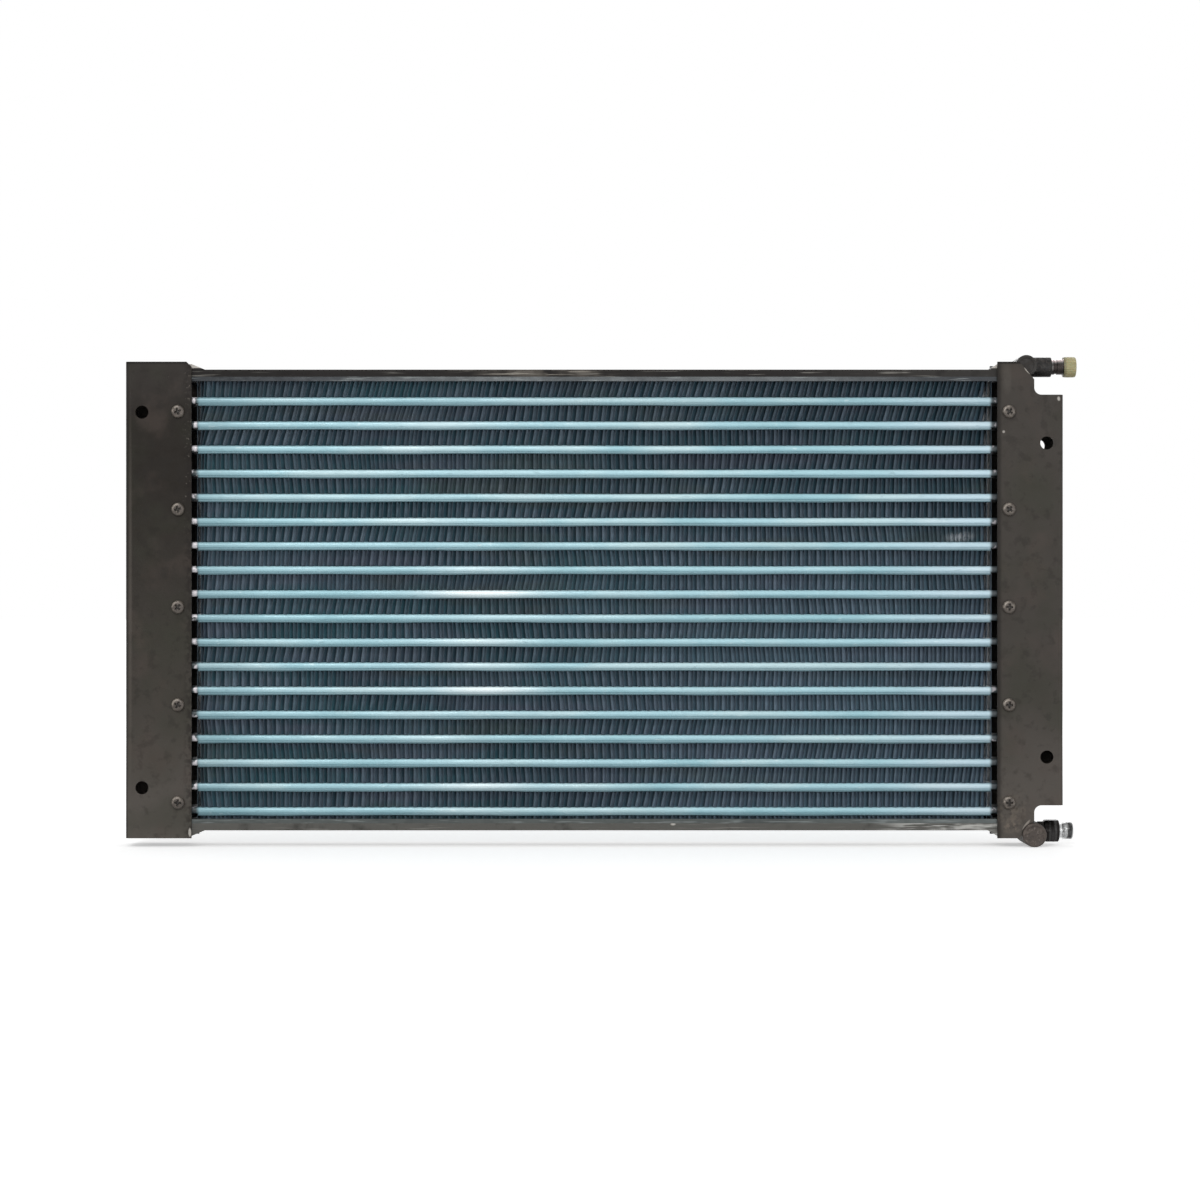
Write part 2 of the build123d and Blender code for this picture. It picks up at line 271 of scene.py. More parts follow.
@dataclass(frozen=True)
class Lines(Mask):
    """Fine drawn lines that follow the piece's UV map, whose lengths are real metres."""

    spacing_mm: float
    length_mm: float
    low: float = 0.35
    high: float = 0.65

    def value(self, tree: Tree, place: Socket) -> Socket:
        """Noise on the UV map, short across the lines and long along them."""
        own = add_node(tree, "ShaderNodeTexCoord").outputs["UV"]
        scale = (1 / (MM * self.spacing_mm), 1 / (MM * self.length_mm), 1.0)
        moved = add_node(tree, "ShaderNodeMapping", {"Scale": scale}, {"Vector": own})
        noise = add_node(
            tree, "ShaderNodeTexNoise", {"Scale": 1.0, "Detail": 2.0}, {"Vector": moved.outputs[0]}
        )
        step = {"From Min": self.low, "From Max": self.high}
        return add_node(tree, "ShaderNodeMapRange", step, {"Value": noise.outputs[0]}).outputs[0]


@dataclass(frozen=True)
class Layer:
    """One colour over what is under it, where all its masks meet, at a strength."""

    colour: str
    strength: float
    masks: tuple[Mask, ...]


def coat(colour: str, strength: float, *masks: Mask) -> Layer:
    """One layer, from its colour, its strength and each mask that it shows through."""
    return Layer(colour, strength, masks)


@dataclass(frozen=True)
class Relief:
    """A fine unevenness of the surface: a pattern, and its real height."""

    pattern: Mask
    height_mm: float


@dataclass(frozen=True)
class Finish:
    """One material: a base colour, layers over it, its gloss and its relief."""

    name: str
    base: str
    layers: tuple[Layer, ...]
    gloss: Patches
    roughness: tuple[float, float]
    reliefs: tuple[Relief, ...] = ()
    constants: tuple[tuple[str, float], ...] = ()

    def strength_of(self, tree: Tree, place: Socket, layer: Layer) -> Socket:
        """Works out where a layer shows.

        Args:
            tree: The material's node tree.
            place: The surface's place in metres.
            layer: The layer.

        Returns:
            A socket with the product of the layer's masks and its strength.
        """
        shown = layer.masks[0].value(tree, place)
        for mask in layer.masks[1:]:
            other = mask.value(tree, place)
            shown = add_node(
                tree, "ShaderNodeMath", {"operation": "MULTIPLY"}, {0: shown, 1: other}
            ).outputs[0]
        scale = {"operation": "MULTIPLY", 1: layer.strength}
        return add_node(tree, "ShaderNodeMath", scale, {0: shown}).outputs[0]

    def material(self) -> bpy.types.Material:
        """Makes the material, with each layer mixed over the one before.

        Returns:
            The new material.
        """
        made = bpy.data.materials.new(self.name)
        made.use_nodes = True
        tree = made.node_tree
        tree.nodes.clear()
        place = add_node(tree, "ShaderNodeTexCoord").outputs["Object"]
        colour = add_node(tree, "ShaderNodeRGB").outputs[0]
        colour.default_value = linear(self.base)
        for layer in self.layers:
            shown = self.strength_of(tree, place, layer)
            mix = {"data_type": "RGBA", MIX_B: linear(layer.colour)}
            colour = add_node(tree, "ShaderNodeMix", mix, {0: shown, MIX_A: colour}).outputs[MIX_COLOUR]
        gloss = add_node(
            tree,
            "ShaderNodeMapRange",
            {"To Min": self.roughness[0], "To Max": self.roughness[1]},
            {"Value": self.gloss.value(tree, place)},
        )
        shader = add_node(
            tree,
            "ShaderNodeBsdfPrincipled",
            dict(self.constants),
            {"Base Color": colour, "Roughness": gloss.outputs[0]},
        )
        normal = None
        for relief in self.reliefs:
            bump = add_node(
                tree,
                "ShaderNodeBump",
                {"Strength": 1.0, "Distance": relief.height_mm * MM},
                {"Height": relief.pattern.value(tree, place)},
            )
            if normal is not None:
                tree.links.new(normal, bump.inputs["Normal"])
            normal = bump.outputs[0]
        if normal is not None:
            tree.links.new(normal, shader.inputs["Normal"])
        add_node(tree, "ShaderNodeOutputMaterial", links={0: shader.outputs[0]})
        return made


# Mesh helpers


@dataclass
class Surface:
    """One piece's mesh while it is worked out, in mm: closed shells of points, faces, UVs and marks."""

    points: list[Array] = field(default_factory=list)
    faces: list[Array] = field(default_factory=list)
    corners: list[Array] = field(default_factory=list)
    marks: dict[str, list[Array]] = field(default_factory=dict)
    count: int = 0

    def add_shell(
        self,
        grid: Array,
        ring: bool = False,
        along_mm: Array | None = None,
        around_mm: Array | None = None,
        **marks: Array,
    ) -> None:
        """Adds one closed shell from a grid of points whose columns wrap round.

        Each face joins row i and i + 1, column j and j + 1. The first and last row are closed by one
        many-sided face each, unless the rows wrap round too. The sum over all faces of the volume that each
        spans with the origin says if the shell is inside out, and then its faces are turned.

        Args:
            grid: Points, as rows by columns by three.
            ring: True if the last row joins the first.
            along_mm: UV length at each row, one more than the rows of a ring.
            around_mm: UV length at each column, and one more for the way back to the first.
            marks: Values for each point by name, as rows by columns.
        """
        rows, columns = grid.shape[:2]
        start = np.arange(rows if ring else rows - 1)[:, None]
        column = np.arange(columns)[None, :]
        after, beside = (start + 1) % rows, (column + 1) % columns
        quads = np.stack(
            [
                start * columns + column,
                start * columns + beside,
                after * columns + beside,
                after * columns + column,
            ],
            axis=-1,
        ).reshape(-1, 4)
        along = np.arange(rows + 1.0) if along_mm is None else along_mm
        around = np.arange(columns + 1.0) if around_mm is None else around_mm
        sides, steps = np.broadcast_arrays(column, start)
        uvs = np.stack(
            [
                np.stack([around[sides + du], along[steps + dv]], axis=-1)
                for du, dv in ((0, 0), (1, 0), (1, 1), (0, 1))
            ],
            axis=2,
        ).reshape(-1, 4, 2)
        sets = [(quads, uvs)]
        if not ring:
            first = np.arange(columns)[None, ::-1]
            last = np.arange(columns)[None, :] + (rows - 1) * columns
            sets += [(cap, np.zeros((1, columns, 2))) for cap in (first, last)]
        flat = grid.reshape(-1, 3)
        volume = 0.0
        for faces, _ in sets:
            fans = [np.repeat(faces[:, :1], faces.shape[1] - 2, axis=1), faces[:, 1:-1], faces[:, 2:]]
            first, second, third = (flat[fan.reshape(-1)] for fan in fans)
            volume += float(np.einsum("ij,ij->", first, np.cross(second, third)))
        for faces, uv in sets:
            inside_out = volume < 0
            self.faces.append((faces[:, ::-1] if inside_out else faces) + self.count)
            self.corners.append(uv[:, ::-1] if inside_out else uv)
        self.points.append(flat)
        for name, values in marks.items():
            self.marks.setdefault(name, []).append(np.broadcast_to(values, grid.shape[:2]).reshape(-1))
        self.count += len(flat)

    def make(
        self,
        name: str,
        finish: bpy.types.Material,
        replaced: tuple[str, ...],
        sharp_degrees: float,
    ) -> bpy.types.Object:
        """Writes the arrays into a mesh in metres and hangs its object on the frame.

        Args:
            name: The piece's name.
            finish: Its material.
            replaced: CAD nodes that it stands for.
            sharp_degrees: Edges that turn by more than this look sharp.

        Returns:
            The new object.
        """
        mesh = bpy.data.meshes.new(name)
        loops = np.concatenate([faces.reshape(-1) for faces in self.faces]).astype(np.int32)
        sizes = np.concatenate([np.full(len(faces), faces.shape[1]) for faces in self.faces])
        starts = np.concatenate([[0], np.cumsum(sizes)[:-1]]).astype(np.int32)
        mesh.vertices.add(self.count)
        mesh.vertices.foreach_set("co", (np.concatenate(self.points) * MM).astype(np.float32).reshape(-1))
        mesh.loops.add(len(loops))
        mesh.loops.foreach_set("vertex_index", loops)
        mesh.polygons.add(len(sizes))
        mesh.polygons.foreach_set("loop_start", starts)
        mesh.update(calc_edges=True)
        mesh.polygons.foreach_set("use_smooth", np.ones(len(sizes), dtype=bool))
        mesh.set_sharp_from_angle(angle=radians(sharp_degrees))
        uvs = np.concatenate([corner.reshape(-1, 2) for corner in self.corners]) * MM
        mesh.uv_layers.new(name="Lengths").data.foreach_set("uv", uvs.astype(np.float32).reshape(-1))
        for mark, values in self.marks.items():
            layer = mesh.attributes.new(mark, "FLOAT", "POINT")
            layer.data.foreach_set("value", np.concatenate(values).astype(np.float32))
        mesh.materials.append(finish)
        piece = bpy.data.objects.new(name, mesh)
        bpy.context.scene.collection.objects.link(piece)
        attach(piece, "root")
        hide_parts(*replaced)
        LOG.info("%s: %d faces", name, len(sizes))
        return piece


def soften(outline: list[tuple[float, float]], radius: float, steps: int = 4, ring: bool = False) -> Array:
    """Rounds the corners of an outline.

    Each corner P becomes a curve from a point before it, A, to a point after it, B, both at the radius or
    at most 0.45 of the side: (1 - t)^2 A + 2 t (1 - t) P + t^2 B, with t from 0 to 1.

    Args:
        outline: Corner points.
        radius: Distance from the corner at which its curve starts, in mm.
        steps: Points on each curve.
        ring: True if the outline is closed.

    Returns:
        The rounded outline as rows of two.
    """
    given = np.array(outline, dtype=float)
    before, after = np.roll(given, 1, axis=0), np.roll(given, -1, axis=0)
    share = []
    for other in (before, after):
        side = np.linalg.norm(other - given, axis=1, keepdims=True)
        share.append(given + (other - given) * np.minimum(radius / side, 0.45))
    t = np.linspace(0, 1, steps)[None, :, None]
    curves = (1 - t) ** 2 * share[0][:, None] + 2 * t * (1 - t) * given[:, None] + t ** 2 * share[1][:, None]
    if ring:
        return curves.reshape(-1, 2)
    return np.concatenate([given[:1], curves[1:-1].reshape(-1, 2), given[-1:]])


def turned(
    direction: Direction, centre: tuple[float, float, float], along: Array, radius: Array, columns: int
) -> Array:
    """Turns a profile round an axis.

    A point is the centre, plus its length along the axis, plus its radius times the cosine and sine of its
    column's angle on the two directions across.

    Args:
        direction: Where the axis points.
        centre: A point of the axis, in mm.
        along: Length along the axis for each row.
        radius: Radius for each row, or for each row and column.
        columns: Points round the axis.

    Returns:
        Points, as rows by columns by three.
    """
    axis, side, up = (np.array(vector, dtype=float) for vector in direction.value)
    angle = tau * np.arange(columns)[None, :, None] / columns
    spread = np.broadcast_to(np.atleast_2d(radius.T).T, (len(along), columns))[:, :, None]
    outwards = np.cos(angle) * side + np.sin(angle) * up
    return np.array(centre) + along[:, None, None] * axis + spread * outwards


def hexagon(flats: float, columns: int) -> Array:
    """Radius at each column: half the flats over the cosine of the angle from the nearest flat's middle."""
    angle = tau * np.arange(columns) / columns
    return flats / 2 / np.cos(np.mod(angle, pi / 3) - pi / 6)


def screw_thread(along: Array, outer: float, pitch: float, depth: float, columns: int) -> Array:
    """Radius of a screw thread.

    The depth falls and rises once for each pitch along the axis, and the pattern moves by one pitch in a
    turn: outer - depth * |2 f - 1|, where f is the fraction of (along / pitch + angle / full turn).

    Args:
        along: Length along the axis for each row.
        outer: Crest radius.
        pitch: Distance between crests.
        depth: Height of the thread.
        columns: Points round the axis.

    Returns:
        Radius, as rows by columns.
    """
    turn = np.arange(columns)[None, :] / columns
    phase = np.mod(along[:, None] / pitch + turn, 1.0)
    return outer - depth * np.abs(2 * phase - 1)


def smooth_step(value: Array, start: float, end: float) -> Array:
    """0 at start, 1 at end, and 3 t^2 - 2 t^3 between them."""
    share = np.clip((value - start) / (end - start), 0, 1)
    return share * share * (3 - 2 * share)


def mm_box(node: str) -> tuple[Array, Array]:
    """Lowest and highest corner of a CAD node, in mm."""
    low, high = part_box(node)
    return np.array(low) / MM, np.array(high) / MM


# Finishes

# Two-pack chassis paint, sprayed on folded steel: brown-black and satin, painted lighter towards the bottom
# as light reflected up from the floor, faint greenish and brownish weather patches, a fine orange peel,
# rubbed brown mottles round the lower drum, painted shade along the outer folds and the top edge with a
# painted highlight beside the left fold, and bare grey metal where corners are worn, which along both
# chamfered corners is partly painted highlight.
BRACKET_PAINT = Finish(
    name="sprayed_chassis_paint",
    base="#231F1B",
    layers=(
        coat("#322E2B", 0.95, Slope("Z", 150, 210)),
        # Painted light: these layers make both brackets lighter towards the bottom, as if lit from the floor,
        # and the right one a little lighter overall.
        coat("#413D38", 1, Slope("Z", 140, -140)),
        coat("#5A5550", 1, Slope("Z", -80, -240)),
        coat("#413D39", 0.95, Slope("X", 760, 765)),
        coat("#57524D", 0.95, Slope("X", 760, 765), Slope("Z", -60, -210)),
        coat("#34362C", 0.4, Patches(60, 0.45, 0.7, shift=3.1)),
        coat("#4F4540", 0.35, Patches(34, 0.5, 0.75, shift=7.7)),
        coat("#211E1C", 0.3, Patches(9, 0.52, 0.7, shift=1.3)),
        coat("#6E6962", 0.35, Patches(1.7, 0.7, 0.8, shift=5)),
        coat("#7E7870", 0.55, Patches(2.6, 0.6, 0.7, shift=2), Slope("X", 36, 43), Slope("X", 60, 59),
             Slope("Z", 20, 90)),
        coat("#1B1715", 0.6, Slope("X", 36, 44), Slope("X", 60, 59), Patches(5, 0.4, 0.6, shift=6)),
        coat("#181513", 0.7, Slope("X", 784, 780), Slope("X", 700, 720)),
        coat("#524E49", 0.45, Spot(photo_place(1006.5, 378), (5.5, 20), hard=0.3, depth_mm=(0, 9))),
        # Painted highlight beside the left bracket's outer fold, then painted shade along both outer folds
        # and the top edge.
        coat("#5F5953", 0.4, Spot(photo_place(131, 600), (2.4, 230), hard=0.2, depth_mm=(0, 9))),
        coat("#151311", 0.85, Slope("X", -12.6, -14)),
        coat("#1B1816", 0.75, Slope("X", 837.5, 839)),
        coat("#141210", 0.8, Slope("Z", 214.4, 215.8)),
        coat("#6F665C", 0.5, Spot(photo_place(1010, 812), (24, 26), hard=0.1), Patches(7, 0.44, 0.62)),
        coat("#2F2B26", 0.5, Spot(photo_place(1012, 808), (24, 26), hard=0.1), Patches(4, 0.5, 0.66)),
        # Pale strips along both chamfered corners: worn bare edges, partly painted highlight.
        coat("#B9B2A9", 0.85, Spot(photo_place(1027, 371), (5.2, 1.5), -47, 0.6, (0, 4))),
        coat("#A79F96", 0.7, Spot(photo_place(1025.5, 824.5), (7, 1.5), 53, 0.5, (0, 4))),
        coat("#8D7F73", 0.45, Spot(photo_place(1012, 826), (12, 9), hard=0.1), Patches(5, 0.42, 0.6)),
        coat("#C9C4BC", 0.7, Spot(photo_place(1058, 399), (1.8, 2.6), 10, 0.4, (0, 4))),
        coat("#C9C4BC", 0.55, Spot(photo_place(1003, 432), (1.6, 1.6), 0, 0.4, (0, 4))),
        # A pale speck by the lower left corner: worn metal, partly a painted highlight.
        coat("#C9C4BC", 0.75, Spot(photo_place(190.5, 832), (1.6, 5), 0, 0.5, (0, 4))),
    ),
    gloss=Patches(14, 0.35, 0.7, shift=4),
    roughness=(0.44, 0.62),
    reliefs=(Relief(Patches(1.6, 0.3, 0.7, detail=1), 0.02), Relief(Patches(7, 0.4, 0.7, shift=9), 0.05)),
    constants=(("Metallic", 0.0), ("IOR", 1.5), ("Specular IOR Level", 0.12)),
)

# Black stove paint on rolled steel channel: thin, dusty and scuffed along its length, so it shows long
# pale scratches where something was dragged over it.
RAIL_PAINT = Finish(
    name="scuffed_rail_paint",
    base="#232120",
    layers=(
        coat("#5F5E5A", 0.95, Slope("Z", 60, -60)),
        coat("#5A554F", 0.75, Spot((372, 207), (110, 12), hard=0.2), Patches(30, 0.4, 0.6),
             Facing("Z", 0.9, 0.5)),
        coat("#3A3836", 0.7, Slope("X", 560, 740), Slope("Z", -60, 60)),
        coat("#8B867E", 0.85, Patches(1.6, 0.55, 0.66, (22, 4, 1)), Spot((360, 209), (90, 9)),
             Facing("Z", 0.9, 0.5)),
        coat("#8E8B85", 0.55, Patches(1.4, 0.6, 0.72, (30, 5, 1), shift=6), Facing("Z", 0.9, 0.5)),
        coat("#C4C3BE", 0.8, Patches(2, 0.44, 0.6, (14, 4, 1), shift=2), Slope("X", 660, 710),
             Slope("Z", -100, -150)),
        coat("#C2BCB5", 0.95, Slope("X", 59, 56), Slope("Z", 211, 212), Slope("Y", 16, 8),
             Patches(4, 0.3, 0.42)),
        coat("#C2BCB5", 0.95, Slope("X", 770, 773), Slope("Z", 211, 212), Slope("Y", 16, 8),
             Patches(4, 0.3, 0.42)),
        coat("#C6C1B9", 0.8, Spot(photo_place(673, 824), (3.2, 1.6), hard=0.3)),
        coat("#191716", 0.5, Patches(18, 0.55, 0.75, shift=8), Facing("Z", 0.9, 0.5)),
        coat("#4A4845", 0.45, Facing("Z", 0.5, 0.9), Patches(55, 0.3, 0.7, (2, 1, 1))),
    ),
    gloss=Patches(24, 0.3, 0.7, (6, 1, 1)),
    roughness=(0.5, 0.64),
    reliefs=(Relief(Patches(1.8, 0.3, 0.7, (6, 1, 1)), 0.012),),
    constants=(("Metallic", 0.0), ("IOR", 1.5), ("Specular IOR Level", 0.12)),
)

# Rolled aluminium sheet, left bare and gone grey: dull metal with a dusty film, paler in the middle of the
# top plate, and darker towards that plate's ends.
CORE_PLATE = Finish(
    name="rolled_core_plate_sheet",
    base="#313438",
    layers=(
        coat("#595D5F", 0.9, Spot((440, 203), (330, 30), hard=0.45)),
        coat("#4E5351", 0.85, Slope("Z", 60, -60)),
        coat("#606666", 0.6, Slope("X", 560, 760), Slope("Z", 20, -60)),
        coat("#282C30", 0.55, Patches(24, 0.5, 0.72, (3, 1, 1))),
        coat("#24272A", 0.4, Slope("X", 560, 740), Slope("Z", 60, 120)),
        coat("#1F2327", 0.8, Slope("X", 130, 70), Slope("Z", 60, 120)),
        coat("#8A9090", 0.45, Patches(1.5, 0.56, 0.7, (16, 4, 1))),
    ),
    gloss=Patches(12),
    roughness=(0.4, 0.62),
    reliefs=(Relief(Patches(1.2, 0.3, 0.7, (20, 4, 1)), 0.02),),
    constants=(("Metallic", 0.45),),
)

# Extruded aluminium with a clear blue-green coating: a pale cyan sheen, a painted highlight in a white band
# across the runs where a lamp would reflect, greyer above the nose and painted darker below it as shade,
# darker still on the braze underneath as painted shade under each run, with faint drawing lines along the
# tube, and near black with a few pale blobs near the brackets.
TUBE = Finish(
    name="extruded_tube_pale_coating",
    base="#A2C9D3",
    layers=(
        coat("#7DB0BA", 0.5, Patches(26, 0.45, 0.68, (4, 1, 1))),
        coat("#C9DDE0", 0.55, Patches(40, 0.48, 0.68, (3, 1, 1), shift=3.3)),
        coat("#D3DEEA", 0.45, Slope("X", 650, 750)),
        # Painted highlight: a lamp's reflection, painted as a white band across the runs.
        coat("#F4FDFF", 0.95, Marked("bleach")),
        coat("#5F7F88", 0.6, Marked("dull")),
        coat("#6F8E97", 0.35, Patches(3.5, 0.64, 0.74, (3.2, 1, 1), shift=1.5)),
        coat("#EAF4F4", 0.3, Patches(2, 0.64, 0.74, (4, 1, 1), shift=8.1)),
        coat("#8FB3BD", 0.35, Facing("Z", 0.2, 0.9)),
        # Painted shade on the lower side of the nose.
        coat("#6E97A1", 0.3, Facing("Z", 0.1, -0.7)),
        # Painted shade under each run, laid on the braze bead as a darker teal.
        coat("#456670", 0.88, RowHeight(0.925, 0.8), RowHeight(0.5, 0.6)),
        # Near black towards both ends of the runs, with a few pale blobs.
        coat("#111416", 0.94, Slope("X", 52.5, 48)),
        coat("#111416", 0.94, Slope("X", 771.5, 775.5)),
        coat("#DAD6DA", 0.92, Slope("X", 50.5, 48.5), Slope("X", 44, 46), Patches(7, 0.46, 0.56, shift=3)),
        coat("#B9B4B8", 0.7, Slope("X", 773.5, 775.5), Slope("X", 779, 777.5),
             Patches(7, 0.56, 0.62, shift=6)),
    ),
    gloss=Patches(9, stretch=(3, 1, 1)),
    roughness=(0.3, 0.46),
    reliefs=(Relief(Lines(0.7, 60), 0.02), Relief(Patches(14, stretch=(3, 1, 1)), 0.12)),
    constants=(("Metallic", 0.15), ("Specular IOR Level", 0.6)),
)

# Thin aluminium fin stock with a dark hydrophilic coating: alternate folds are painted lighter and darker as
# lit and shaded faces, the front and back edges are painted dark as shade between the light bars, a painted
# shadow lies below each run of the tube, and tints drift from purple-grey to teal.
FIN = Finish(
    name="coated_fin_stock",
    base="#46616F",
    layers=(
        # Painted light: one face of the strip is painted lighter, as if lit, and the other keeps the darker
        # base, as if shaded.
        coat("#879BAB", 0.9, Marked("side")),
        coat("#3F7680", 0.5, Patches(90, 0.42, 0.62, (2, 1, 0.4)), Slope("X", 520, 240)),
        coat("#4A7884", 0.4, Patches(60, 0.46, 0.66, (2, 1, 0.4), shift=2.2)),
        coat("#827C94", 0.32, Patches(75, 0.48, 0.68, (2, 1, 0.5), shift=4.4)),
        coat("#74796A", 0.35, Patches(70, 0.52, 0.7, (2, 1, 0.4), shift=9.2)),
        coat("#B4C3CE", 0.3, Marked("shade", 0.5, 1)),
        coat("#1D2935", 0.35, Marked("shade", 0.5, 0)),
        coat("#1D2935", 0.16, Slope("Z", 30, 150)),
        coat("#A0BAD0", 0.3, Slope("X", 300, 620), Slope("Z", 140, -60)),
        coat("#1D2935", 0.16, Slope("X", 690, 712)),
        # Painted shadow of each tube run on the fins just below it.
        coat("#1D2935", 0.25, RowHeight(0.42, 0.62)),
        coat("#D8DEE4", 0.9, Spot(photo_place(960, 537), (19, 6.5), 4, 0.1), Patches(4, 0.34, 0.52)),
        # Painted shade: the strip's front and back edges are painted dark, so each fold reads as a soft light
        # bar.
        coat("#1B2630", 0.92, Marked("rim")),
    ),
    gloss=Patches(6),
    roughness=(0.42, 0.6),
    reliefs=(Relief(Patches(1.4, 0.3, 0.7), 0.03),),
    constants=(("Metallic", 0.35),),
)

# Black enamel brushed over brazed steel pipe: thick, rough and slightly lumpy, greyer in patches where it
# faces up.
PORT_PAINT = Finish(
    name="brushed_black_enamel",
    base="#1B1A19",
    layers=(
        coat("#4A4643", 0.6, Facing("Z", 0.55, 1), Patches(5, 0.4, 0.6)),
        coat("#36312E", 0.6, Patches(3, 0.5, 0.65)),
        coat("#77706A", 0.5, Patches(1.6, 0.62, 0.7)),
    ),
    gloss=Patches(4),
    roughness=(0.45, 0.7),
    reliefs=(Relief(Patches(2.4, 0.3, 0.7), 0.12),),
    constants=(("Metallic", 0.0), ("IOR", 1.5), ("Specular IOR Level", 0.3)),
)

# Chassis paint sprayed over the brazed drums: browner and lumpier, nearly black on the upper drum.
DRUM_PAINT = Finish(
    name="sprayed_drum_paint",
    base="#4A423D",
    layers=(
        coat("#6E655E", 0.55, Patches(5, 0.48, 0.66)),
        coat("#2C2724", 0.55, Patches(3.2, 0.52, 0.68, shift=3)),
        coat("#968C84", 0.45, Patches(1.8, 0.6, 0.7, shift=6)),
        coat("#1F1D1B", 0.92, Slope("Z", 150, 190)),
    ),
    gloss=Patches(5),
    roughness=(0.46, 0.66),
    reliefs=(Relief(Patches(1.8, 0.3, 0.7), 0.08),),
    constants=(("Metallic", 0.0), ("IOR", 1.5), ("Specular IOR Level", 0.3)),
)

# Turned aluminium: bare metal with bright and dark rings from the lathe, dulled in patches by handling, with
# black paint from the pipes on the outlet's hexagon, and on the inlet's neck painted shade where it does not
# face up and a painted pink highlight where it does.
BARE_FITTING = Finish(
    name="turned_aluminium",
    base="#6A6968",
    layers=(
        coat("#66686A", 0.65, Patches(2.6, 0.44, 0.6, (1, 14, 14))),
        coat("#F0F1F1", 0.65, Patches(3.2, 0.48, 0.62, (1, 14, 14), shift=5)),
        coat("#4A4846", 0.4, Patches(2.4, 0.58, 0.74, shift=2)),
        coat("#D6D7D7", 0.6, Slope("X", 838.9, 839.6), Slope("X", 842.6, 841.4), Slope("Z", 0, -10)),
        coat("#1C1918", 0.92, Slope("Z", 0, -10), Slope("X", 838.9, 838.4)),
        # Painted light on the inlet's neck: dark where it faces sideways or down, a pink highlight where it
        # faces up.
        coat("#2A2321", 0.88, Slope("Z", 0, 10), Facing("Z", 0.75, 0.3)),
        coat("#E6CFCE", 0.6, Slope("Z", 0, 10), Facing("Z", 0.5, 0.9)),
    ),
    gloss=Patches(3),
    roughness=(0.26, 0.44),
    reliefs=(Relief(Patches(0.5, 0.3, 0.7, (1, 20, 20)), 0.02),),
    constants=(("Metallic", 1.0),),
)

# Injection moulded polyethylene: waxy, olive-cream and a little see-into, painted lighter where it faces up
# and darker where it faces down and towards its open end, as light and shade.
CAP_PLASTIC = Finish(
    name="moulded_polyethylene",
    base="#9C956D",
    layers=(
        # Painted light and shade: lighter facing up, darker facing down and towards the open end.
        coat("#C2BA90", 0.6, Facing("Z", 0.2, 0.95)),
        coat("#7C754E", 0.6, Facing("Z", -0.1, -0.9)),
        coat("#857C52", 0.4, Patches(5, 0.5, 0.68)),
        coat("#5E5940", 0.75, Slope("X", 846.2, 843.2)),
    ),
    gloss=Patches(4),
    roughness=(0.4, 0.55),
    reliefs=(Relief(Patches(1, 0.3, 0.7), 0.02),),
    constants=(("Metallic", 0.0), ("IOR", 1.51), ("Subsurface Weight", 0.12), ("Subsurface Scale", 0.003)),
)

# Zinc-plated steel screws painted over with the brackets: brown-grey film, a painted highlight as a crescent
# on each head's rim, on the same side of every screw, and the cross recess painted near black as shade.
SCREW_STEEL = Finish(
    name="painted_zinc_screws",
    base="#4C453F",
    layers=(
        coat("#6E665D", 0.6, Patches(3.6, 0.48, 0.66)),
        coat("#322C28", 0.5, Patches(3, 0.5, 0.68, shift=4)),
        # Painted highlight: a pale crescent on each screw head's rim, on the same side of every screw.
        coat("#9C9389", 0.8, Marked("rubbed"), Patches(2.2, 0.3, 0.5, shift=7)),
        # Painted shade: the cross recess is painted near black.
        coat("#1B1815", 0.85, Marked("recess")),
    ),
    gloss=Patches(2),
    roughness=(0.3, 0.5),
    reliefs=(Relief(Patches(0.9, 0.3, 0.7), 0.04),),
    constants=(("Metallic", 0.25),),
)


# Sub-assemblies


@dataclass
class CoreFrame:
    """Brackets, rails and core plates: folded sheet that keeps its CAD shape."""

    dressed: dict[str, str] = field(
        default_factory=lambda: {
            "left_bracket": "bracket",
            "right_bracket": "bracket",
            "top_rail": "rail",
            "bottom_rail": "rail",
            "top_core_plate": "plate",
            "bottom_core_plate": "plate",
        }
    )

    def dress(self) -> None:
        """Gives each CAD node its finish."""
        finishes = {
            "bracket": BRACKET_PAINT.material(),
            "rail": RAIL_PAINT.material(),
            "plate": CORE_PLATE.material(),
        }
        for node, kind in self.dressed.items():
            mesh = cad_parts[node].data
            mesh.materials.clear()
            mesh.materials.append(finishes[kind])
            LOG.info("%s: CAD shape, %s", node, finishes[kind].name)


